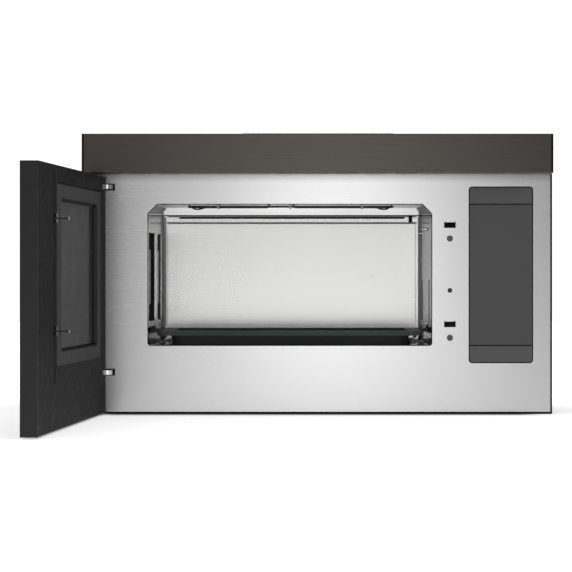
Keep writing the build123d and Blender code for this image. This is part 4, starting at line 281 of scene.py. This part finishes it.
for part in frame["record"]["subparts"]:
    node = nodes[part["node"]]
    node.data.materials.clear()
    node.data.materials.append(MATERIALS[part["material_slot"]])
for name in ("heater_clips", "face_screw"):
    nodes[name].data.materials[0] = MATERIALS["screen_steel"]
nodes["cavity_ceiling"].data.materials[0] = MATERIALS["ceiling_lit_steel"]


def soften(piece, width):
    """Rounds a piece's sharp edges."""
    bevel = piece.modifiers.new("soft_edges", "BEVEL")
    bevel.width = width
    bevel.segments = 2
    bevel.limit_method = "ANGLE"
    bevel.angle_limit = radians(40)


SOFT_EDGES = {
    "front_face_panel": 0.0003,
    "vent_fascia": 0.0003,
    "module_cover": 0.0003,
    "module_end_caps": 0.0003,
    "door_shell": 0.0003,
    "door_inner_frame": 0.0004,
    "door_inner_panel": 0.0005,
    "tray_rails": 0.0004,
    "latch_hooks": 0.0003,
    "hinge_arms": 0.0004,
}
for name, width in SOFT_EDGES.items():
    soften(nodes[name], width)


# Small trims of the visual model, and strips of painted shade
TURNED_SIDES = 28
RECESS_SIDES = 32
TUBE_SIDES = 12


def build(name, rings, slot, body, loop=False, bevel_width=0.0):
    """A solid skin through rings of points, closed into a loop or filled at both ends."""
    mesh = bpy.data.meshes.new(name)
    shape = bmesh.new()
    rows = [[shape.verts.new(point) for point in ring] for ring in rings]
    next_rows = rows[1:] + (rows[:1] if loop else [])
    count = len(rows[0])
    for first, second in zip(rows, next_rows):
        for i in range(count):
            j = (i + 1) % count
            shape.faces.new((first[i], first[j], second[j], second[i]))
    if not loop:
        shape.faces.new(rows[0])
        shape.faces.new(rows[-1])
    bmesh.ops.recalc_face_normals(shape, faces=shape.faces)
    shape.to_mesh(mesh)
    shape.free()
    piece = bpy.data.objects.new(name, mesh)
    bpy.context.scene.collection.objects.link(piece)
    mesh.materials.append(MATERIALS[slot])
    if bevel_width:
        soften(piece, bevel_width)
    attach(piece, body)


def border(name, outer, inner, depths, place, slot, body):
    """A flat frame between two outlines and two depths. The place function turns each point and depth into space."""
    near, far = depths
    rings = [[place(*o, near), place(*i, near), place(*i, far), place(*o, far)] for o, i in zip(outer, inner)]
    build(name, rings, slot, body, loop=True)


def circle(centre, across, other, radius, sides):
    """Points of a circle in the plane of two unit vectors."""
    turns = [2 * pi * i / sides for i in range(sides)]
    return [centre + (across * cos(turn) + other * sin(turn)) * radius for turn in turns]


def turned(name, centre, axis, profile, slot, body):
    """A turned piece: the profile lists radius and distance along the axis."""
    axis = Vector(axis).normalized()
    across = axis.orthogonal().normalized()
    other = axis.cross(across)
    centre = Vector(centre)
    rings = [circle(centre + axis * along, across, other, radius, TURNED_SIDES) for radius, along in profile]
    build(name, rings, slot, body)


def wall_strip(name, ends, z_range, thickness, slot, bevel_width=0.0):
    """A thin upright strip between two plan points of a cavity wall.

    Seen from above, it grows to the right of the way from its first point to its second.
    """
    first, second = (Vector((*end, 0)) for end in ends)
    growth = (second - first).cross(Vector((0, 0, 1))).normalized() * thickness
    plan = [first, second, second + growth, first + growth]
    rings = [[point + Vector((0, 0, z)) for point in plan] for z in z_range]
    build(name, rings, slot, "cabinet", bevel_width=bevel_width)


def face_point(x, z, depth):
    """A point at a depth behind the face."""
    return (x, FACE_Y + depth, z)


def rounded_corner(x, z, radius, start):
    """Points of a quarter round about a corner's centre, from a start angle in degrees."""
    return [(x + radius * cos(radians(start + a)), z + radius * sin(radians(start + a))) for a in (0, 30, 60, 90)]


def mouth_outline(inset):
    """The cavity mouth's outline moved in: two slanted top corners and two round bottom ones."""
    left, right, bottom, top = MOUTH
    slant = MOUTH_SLANT - SLANT_SHRINK * inset
    left, right, bottom, top = left + inset, right - inset, bottom + inset, top - inset
    radius = MOUTH_R - inset
    return (
        [(left, top - slant), (left + slant, top), (right - slant, top), (right, top - slant)]
        + rounded_corner(right - radius, bottom + radius, radius, -90)[::-1]
        + rounded_corner(left + radius, bottom + radius, radius, 180)[::-1]
    )


# The dark line round the mouth: a black ring on the face along the mouth's edge, standing for the seam there, its
# darkness painted shadow
MOUTH_SHADOW_WIDTH = 0.0013
MOUTH_SHADOW_DEPTHS = (0.0004, 0.0012)
border("mouth_shadow_ring", mouth_outline(0.0), mouth_outline(MOUTH_SHADOW_WIDTH), MOUTH_SHADOW_DEPTHS, face_point, "black_plastic", "cabinet")

# Painted shade along the top of the back wall and in its corners: a black strip for the shade inside a slot, grey
# strips for the shade above it and along the pad's top edge, and paler strips for the shade in the corners
SLOT_T = 0.0006
LINE_T = 0.0004
LINE_Y = BACK_Y - 0.0016
BACK_LINE = ((0.1705, LINE_Y), (-0.2595, LINE_Y))
SLOT_LINE = ((0.1500, LINE_Y), (-0.2386, LINE_Y))
LEFT_CORNER = ((-0.2609, -0.0410), (-0.2655, -0.0425))
RIGHT_CORNER = ((0.1779, -0.0432), (0.1734, -0.0412))
CORNER_RISE = (0.136, 0.3245)
wall_strip("slot_shade", SLOT_LINE, (0.3216, 0.3243), SLOT_T, "black_steel")
wall_strip("slot_recess_shade", BACK_LINE, (0.3243, 0.3263), LINE_T, "grey_shade_paint")
wall_strip("pad_edge_shade", BACK_LINE, (0.3130, 0.3157), LINE_T, "grey_shade_paint")
wall_strip("corner_shade_left", LEFT_CORNER, CORNER_RISE, LINE_T, "pale_shade_paint")
wall_strip("corner_shade_right", RIGHT_CORNER, CORNER_RISE, LINE_T, "pale_shade_paint", bevel_width=LINE_T / 3)


# On the right wall: dark strips painted as the shade inside two slots, plugs, and stud caps
def right_wall(depth):
    """A plan point on the cavity's right wall."""
    return (MOUTH[1] - DRAFT * depth, FACE_Y + depth)


PLUG_DEPTH = 0.121
PLUG_SUNK = 0.0002
PLUG_HEIGHTS = (0.3006, 0.1417)
PLUG_PROFILE = ((0.0021, 0), (0.0021, 0.0011), (0.0015, 0.0017))
STUD_DEPTH = 0.1675
STUD_LENGTH = 0.0046
STUD_HEIGHTS = (0.3015, 0.1425)
CAP_PROFILE = ((0.0029, 0), (0.0029, 0.0006), (0.0020, 0.0010))
wall_strip("right_slot_shade_front", (right_wall(0.097), right_wall(0.073)), (0.1472, 0.2164), SLOT_T, "screen_steel")
wall_strip("right_slot_shade_rear", (right_wall(0.314), right_wall(0.286)), (0.1480, 0.2160), SLOT_T, "screen_steel")
for index, z in enumerate(PLUG_HEIGHTS):
    x, y = right_wall(PLUG_DEPTH)
    turned(f"wall_plug_{index}", (x + PLUG_SUNK, y, z), (-1, 0, 0), PLUG_PROFILE, "black_plastic", "cabinet")
for index, z in enumerate(STUD_HEIGHTS):
    x, y = right_wall(STUD_DEPTH)
    turned(f"stud_cap_{index}", (x - STUD_LENGTH, y, z), (-1, 0, 0), CAP_PROFILE, "screen_steel", "cabinet")

# Bright ledges beside the tray, on the walls and on the floor, and grey strips over the slanted facets under the
# ceiling, painted shade that darkens those facets
LEDGE_DEPTHS = (0.006, 0.325)
LEDGE_INNER_X = -0.2425
WALL_LEDGE_RISE = (0.1113, 0.1300)
WALL_LEDGE_REACH = (0.0001, 0.0005)
FLOOR_LEDGE_RISE = (0.11005, 0.1102)
FACET_DEPTHS = (0.003, 0.325)
FACET_T = 0.0003
FACET_END = 0.0009


def across_cavity(x, side):
    """A place across the cavity, or its mirror image if the side is -1."""
    return x if side == 1 else MOUTH[0] + MOUTH[1] - x


def ledge(name, rise, near, far):
    """A thin strip from front to back; near and far hold its x at the front and at the back."""
    front, back = (FACE_Y + depth for depth in LEDGE_DEPTHS)
    rings = [[(near[0], front, z), (near[1], back, z), (far[1], back, z), (far[0], front, z)] for z in rise]
    build(name, rings, "bright_steel", "cabinet")


facet = [
    (MOUTH[0] + FACET_END, MOUTH[3] - MOUTH_SLANT + FACET_T),
    (MOUTH[0] + MOUTH_SLANT - FACET_T, MOUTH[3] - FACET_END),
]
facet += [(x + FACET_T, z - FACET_T) for x, z in reversed(facet)]
for name, side in (("left", 1), ("right", -1)):
    wall = [across_cavity(MOUTH[0] + DRAFT * depth, side) for depth in LEDGE_DEPTHS]
    near, far = ([x + side * reach for x in wall] for reach in WALL_LEDGE_REACH)
    ledge(f"ledge_wall_{name}", WALL_LEDGE_RISE, near, far)
    ledge(f"ledge_floor_{name}", FLOOR_LEDGE_RISE, wall, [across_cavity(LEDGE_INNER_X, side)] * 2)
    # Each facet strip paints shade over a slanted ceiling facet.
    rings = [[face_point(across_cavity(x, side), z, depth) for x, z in facet] for depth in FACET_DEPTHS]
    build(f"ceiling_shade_facet_{name}", rings, "grey_shade_paint", "cabinet")

# A black ring round the face screw: painted shade of the recess around it
RECESS_RADII = (0.0037, 0.0010)
RECESS_DEPTHS = (-0.0001, -0.0003)
screw_low, screw_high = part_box("face_screw")
screw = (screw_low + screw_high) / 2
outer, inner = (
    [(point.x, point.z) for point in circle(screw, Vector((1, 0, 0)), Vector((0, 0, 1)), radius, RECESS_SIDES)]
    for radius in RECESS_RADII
)
border("screw_shade_ring", outer, inner, RECESS_DEPTHS, face_point, "black_plastic", "cabinet")

# Painted shade on the edges: black bars along both ends of the band and the face's right side
SHADE_BARS = {
    "band_shade_left": ((-0.3797, -0.4032, 0.3892), (-0.3774, -0.4030, 0.4522)),
    "band_shade_right": ((0.3774, -0.4032, 0.3892), (0.3797, -0.4030, 0.4522)),
    "face_shade_right": ((0.3767, FACE_Y - 0.0003, 0.0036), (0.3793, FACE_Y, 0.3884)),
}
for name, (low, high) in SHADE_BARS.items():
    plan = [(low[0], low[1]), (high[0], low[1]), (high[0], high[1]), (low[0], high[1])]
    rings = [[(x, y, z) for x, y in plan] for z in (low[2], high[2])]
    build(name, rings, "black_plastic", "cabinet", bevel_width=0.0001)

# The heater's two end bends, which dip below its straight runs
HEATER_MIDDLE = -0.04375
BEND_R = 0.0012
BEND = (
    (-0.2085, -0.347, 0.3383),
    (-0.2060, -0.345, 0.3355),
    (-0.2010, -0.340, 0.3325),
    (-0.1960, -0.333, 0.3318),
    (-0.1905, -0.326, 0.3328),
    (-0.1856, -0.320, 0.3345),
    (-0.1780, -0.315, 0.3365),
)
for index, side in enumerate((1, -1)):
    path = [Vector((HEATER_MIDDLE + side * (x - HEATER_MIDDLE), y, z)) for x, y, z in BEND]
    rings = []
    for i, point in enumerate(path):
        way = (path[min(i + 1, len(path) - 1)] - path[max(i - 1, 0)]).normalized()
        across = way.cross(Vector((0, 1, 0))).normalized()
        rings.append(circle(point, across, way.cross(across), BEND_R, TUBE_SIDES))
    build(f"heater_bend_{index}", rings, "heater_steel", "cabinet")


# Trims of the door and of its latch. The door stands open a little past a right angle.
DOOR_X = -0.3414
DOOR_Y = -0.3775
DOOR_SIN = 0.0558
DOOR_COS = 0.9984


def door_point(u, z, v):
    """A point on the open door: u from the hinge along it, z up, v in from its inner face."""
    return (DOOR_X - DOOR_SIN * u - DOOR_COS * v, DOOR_Y - DOOR_COS * u + DOOR_SIN * v, z)


# The window's black border on the pane, widest towards the hinge
BORDER_OUTER = ((0.1248, 0.1122), (0.5325, 0.1122), (0.5325, 0.3378), (0.1248, 0.3378))
BORDER_INNER = ((0.1770, 0.1152), (0.5285, 0.1152), (0.5285, 0.3345), (0.1770, 0.3345))
BORDER_DEPTHS = (0.0050, 0.0053)
border("window_border", BORDER_OUTER, BORDER_INNER, BORDER_DEPTHS, door_point, "black_steel", "door")

# The light bead along the door's free side, and a black edge along its top
BEAD = ((0.5862, -0.0001), (0.5870, -0.0012), (0.5880, -0.0012), (0.5888, -0.0001))
BEAD_RISE = (0.0708, 0.3778)
EDGE = ((0.0, -0.0004), (0.7585, -0.0004), (0.7585, 0.0), (0.0, 0.0))
EDGE_RISE = (0.3806, 0.3826)
bead_rings, edge_rings = (
    [[door_point(u, z, v) for u, v in plan] for z in rise] for plan, rise in ((BEAD, BEAD_RISE), (EDGE, EDGE_RISE))
)
build("door_bead", bead_rings, "grey_panel", "door", bevel_width=0.0002)
build("door_edge_top", edge_rings, "black_plastic", "door")

# Bright noses on the latch hooks
HOOK_TIP = (-0.3540, -0.9720)
HOOK_HEIGHTS = (0.3057, 0.1450)
HOOK_WAY = (DOOR_COS, -DOOR_SIN, 0)
NOSE_PROFILE = ((0.0021, -0.0012), (0.0021, -0.0002), (0.0015, 0.0004), (0.0006, 0.0007))
for index, z in enumerate(HOOK_HEIGHTS):
    turned(f"hook_nose_{index}", (*HOOK_TIP, z), HOOK_WAY, NOSE_PROFILE, "guide_steel", "latch")

# A wide front panel of upright strips, most of its light in the middle, and a soft light above
PANEL_Y = -2.8
PANEL_HEIGHT = 0.95
PANEL_STRIP = 0.2
PANEL_POWER = 0.92
PANEL_SHARES = {-3: 0.6, -1: 0.2, 0: 2.1, 1: 0.9, 3: 0.1}
TOP_PLACE = (0.0, -1.4, 2.8)
TOP_TARGET = (0, -0.3, 0.2)
TOP_SIZE = 2.4
TOP_POWER = 26.0


def add_light(name, place, target, size, power):
    """A rectangular soft light, of a width and a height, that faces its target."""
    data = bpy.data.lights.new(name, "AREA")
    data.shape = "RECTANGLE"
    data.size, data.size_y = size
    data.energy = power
    data.spread = pi
    light = bpy.data.objects.new(name, data)
    light.location = place
    light.rotation_euler = (Vector(target) - Vector(place)).to_track_quat("-Z", "Y").to_euler()
    bpy.context.scene.collection.objects.link(light)


for index, share in PANEL_SHARES.items():
    x, z = index * PANEL_STRIP, PANEL_HEIGHT / 2
    size = (PANEL_STRIP, PANEL_HEIGHT)
    add_light(f"front_panel_{index}", (x, PANEL_Y, z), (x, 0, z), size, PANEL_POWER * share)
add_light("top_soft_light", TOP_PLACE, TOP_TARGET, (TOP_SIZE, TOP_SIZE), TOP_POWER)

# The floor. The camera sees it pale near the object and white away from it, and glossy and transmission rays see a
# painted glow stripe on it that stands in for the front panel's light reflected off the floor.
FLOOR_Z = -0.0006
FLOOR_HALF = 9
GLOW_MIDDLE = (-0.15, -0.6, 0)
GLOW_RADII = (0.62, 1.1)
GLOW_RANGE = (0.5, 1.0)
FOOT_MIDDLE_Y = -0.1875
FOOT_HALF = (0.32, 0.1875, 1)
CONTACT_SHADOW_GLOW = ((0.0, 0.08), (0.1, 1.0))
CONTACT_SHADOW_COLOUR = ((0.0, 0.05), (0.2, 0.92))
STRIPE_ACROSS = ((0.0, 0.75), (1.0, 0.25))
STRIPE_ALONG = ((-0.5, -0.375), (0.66, 0.6))
FLOOR_SHEEN = 0.05


def floor_material():
    """Matt white that glows by the kind of ray, with a painted contact shadow round the object's foot, in its glow and
    in its colour.
    """
    material, tree, shader = new_material("floor_white")
    shader.inputs["Roughness"].default_value = 1.0
    shader.inputs["Specular IOR Level"].default_value = 0.0
    shader.inputs["Emission Color"].default_value = (1, 1, 1, 1)
    point = coordinates(tree, "Object")
    place = axes(tree, point)
    # The painted glow stripe, strongest in the middle, which only reflections see.
    across = map_range(tree, combine(tree, "ABSOLUTE", place["X"], 0.0), *STRIPE_ACROSS)
    along = map_range(tree, place["Y"], *STRIPE_ALONG)
    reflected_glow = combine(tree, "ADD", combine(tree, "MULTIPLY", across, along), FLOOR_SHEEN)

    from_foot = combine_vector(tree, "ADD", point, (0, -FOOT_MIDDLE_Y, 0))["Vector"]
    from_foot = combine_vector(tree, "ABSOLUTE", from_foot)["Vector"]
    from_foot = combine_vector(tree, "SUBTRACT", from_foot, FOOT_HALF)["Vector"]
    from_foot = combine_vector(tree, "MAXIMUM", from_foot)["Vector"]
    gap = combine_vector(tree, "LENGTH", from_foot)["Value"]
    reach = combine_vector(tree, "DISTANCE", point, GLOW_MIDDLE)["Value"]
    seen = combine(
        tree, "MULTIPLY", map_range(tree, reach, GLOW_RADII, GLOW_RANGE), map_range(tree, gap, *CONTACT_SHADOW_GLOW)
    )
    # Painted contact shadow: the floor's colour darkens towards the object's foot.
    tree.links.new(map_range(tree, gap, *CONTACT_SHADOW_COLOUR), shader.inputs["Base Color"])

    camera_ray, bounce = ray_kinds(tree)
    seen, mirrored = combine(tree, "MULTIPLY", camera_ray, seen), combine(tree, "MULTIPLY", bounce, reflected_glow)
    tree.links.new(combine(tree, "ADD", seen, mirrored), shader.inputs["Emission Strength"])
    return material


mesh = bpy.data.meshes.new("floor")
shape = bmesh.new()
corners = ((-1, -1), (1, -1), (1, 1), (-1, 1))
shape.faces.new([shape.verts.new((FLOOR_HALF * x, FLOOR_HALF * y, FLOOR_Z)) for x, y in corners])
shape.to_mesh(mesh)
shape.free()
mesh.materials.append(floor_material())
floor = bpy.data.objects.new("floor", mesh)
bpy.context.scene.collection.objects.link(floor)

# The world gives even light, white behind the object for the camera, and a dimmer front in what metal reflects.
CAMERA_WHITE = 1.1
EVEN_LIGHT = 0.45
MIRRORED_RANGE = ((-0.4, 0.6), (0.05, 1.0))
world = bpy.data.worlds.new("studio")
bpy.context.scene.world = world
world.use_nodes = True
tree = world.node_tree
background = tree.nodes["Background"]
background.inputs["Color"].default_value = (1, 1, 1, 1)
mirrored = map_range(tree, axes(tree, coordinates(tree, "Generated"))["Y"], *MIRRORED_RANGE)
camera_ray, bounce = ray_kinds(tree)
other = combine(tree, "SUBTRACT", 1.0, combine(tree, "MAXIMUM", camera_ray, bounce))
strength = combine(tree, "MULTIPLY", other, EVEN_LIGHT)
for ray, light in ((camera_ray, CAMERA_WHITE), (bounce, mirrored)):
    strength = combine(tree, "ADD", strength, combine(tree, "MULTIPLY", ray, light))
tree.links.new(strength, background.inputs["Strength"])

# The camera stands far away and looks straight at the wall.
CAMERA_PLACE = (0.0, FACE_Y - 5.0, 0.2273)
camera_data = bpy.data.cameras.new("camera")
camera_data.lens = 194.4
camera_data.sensor_width = 36.0
camera_data.shift_x = -0.0551
camera_data.shift_y = -0.0220
camera_data.clip_end = 100.0
camera = bpy.data.objects.new("camera", camera_data)
camera.location = CAMERA_PLACE
camera.rotation_euler = (radians(90), 0, 0)
bpy.context.scene.collection.objects.link(camera)
bpy.context.scene.camera = camera
bpy.context.scene.view_settings.view_transform = "Standard"
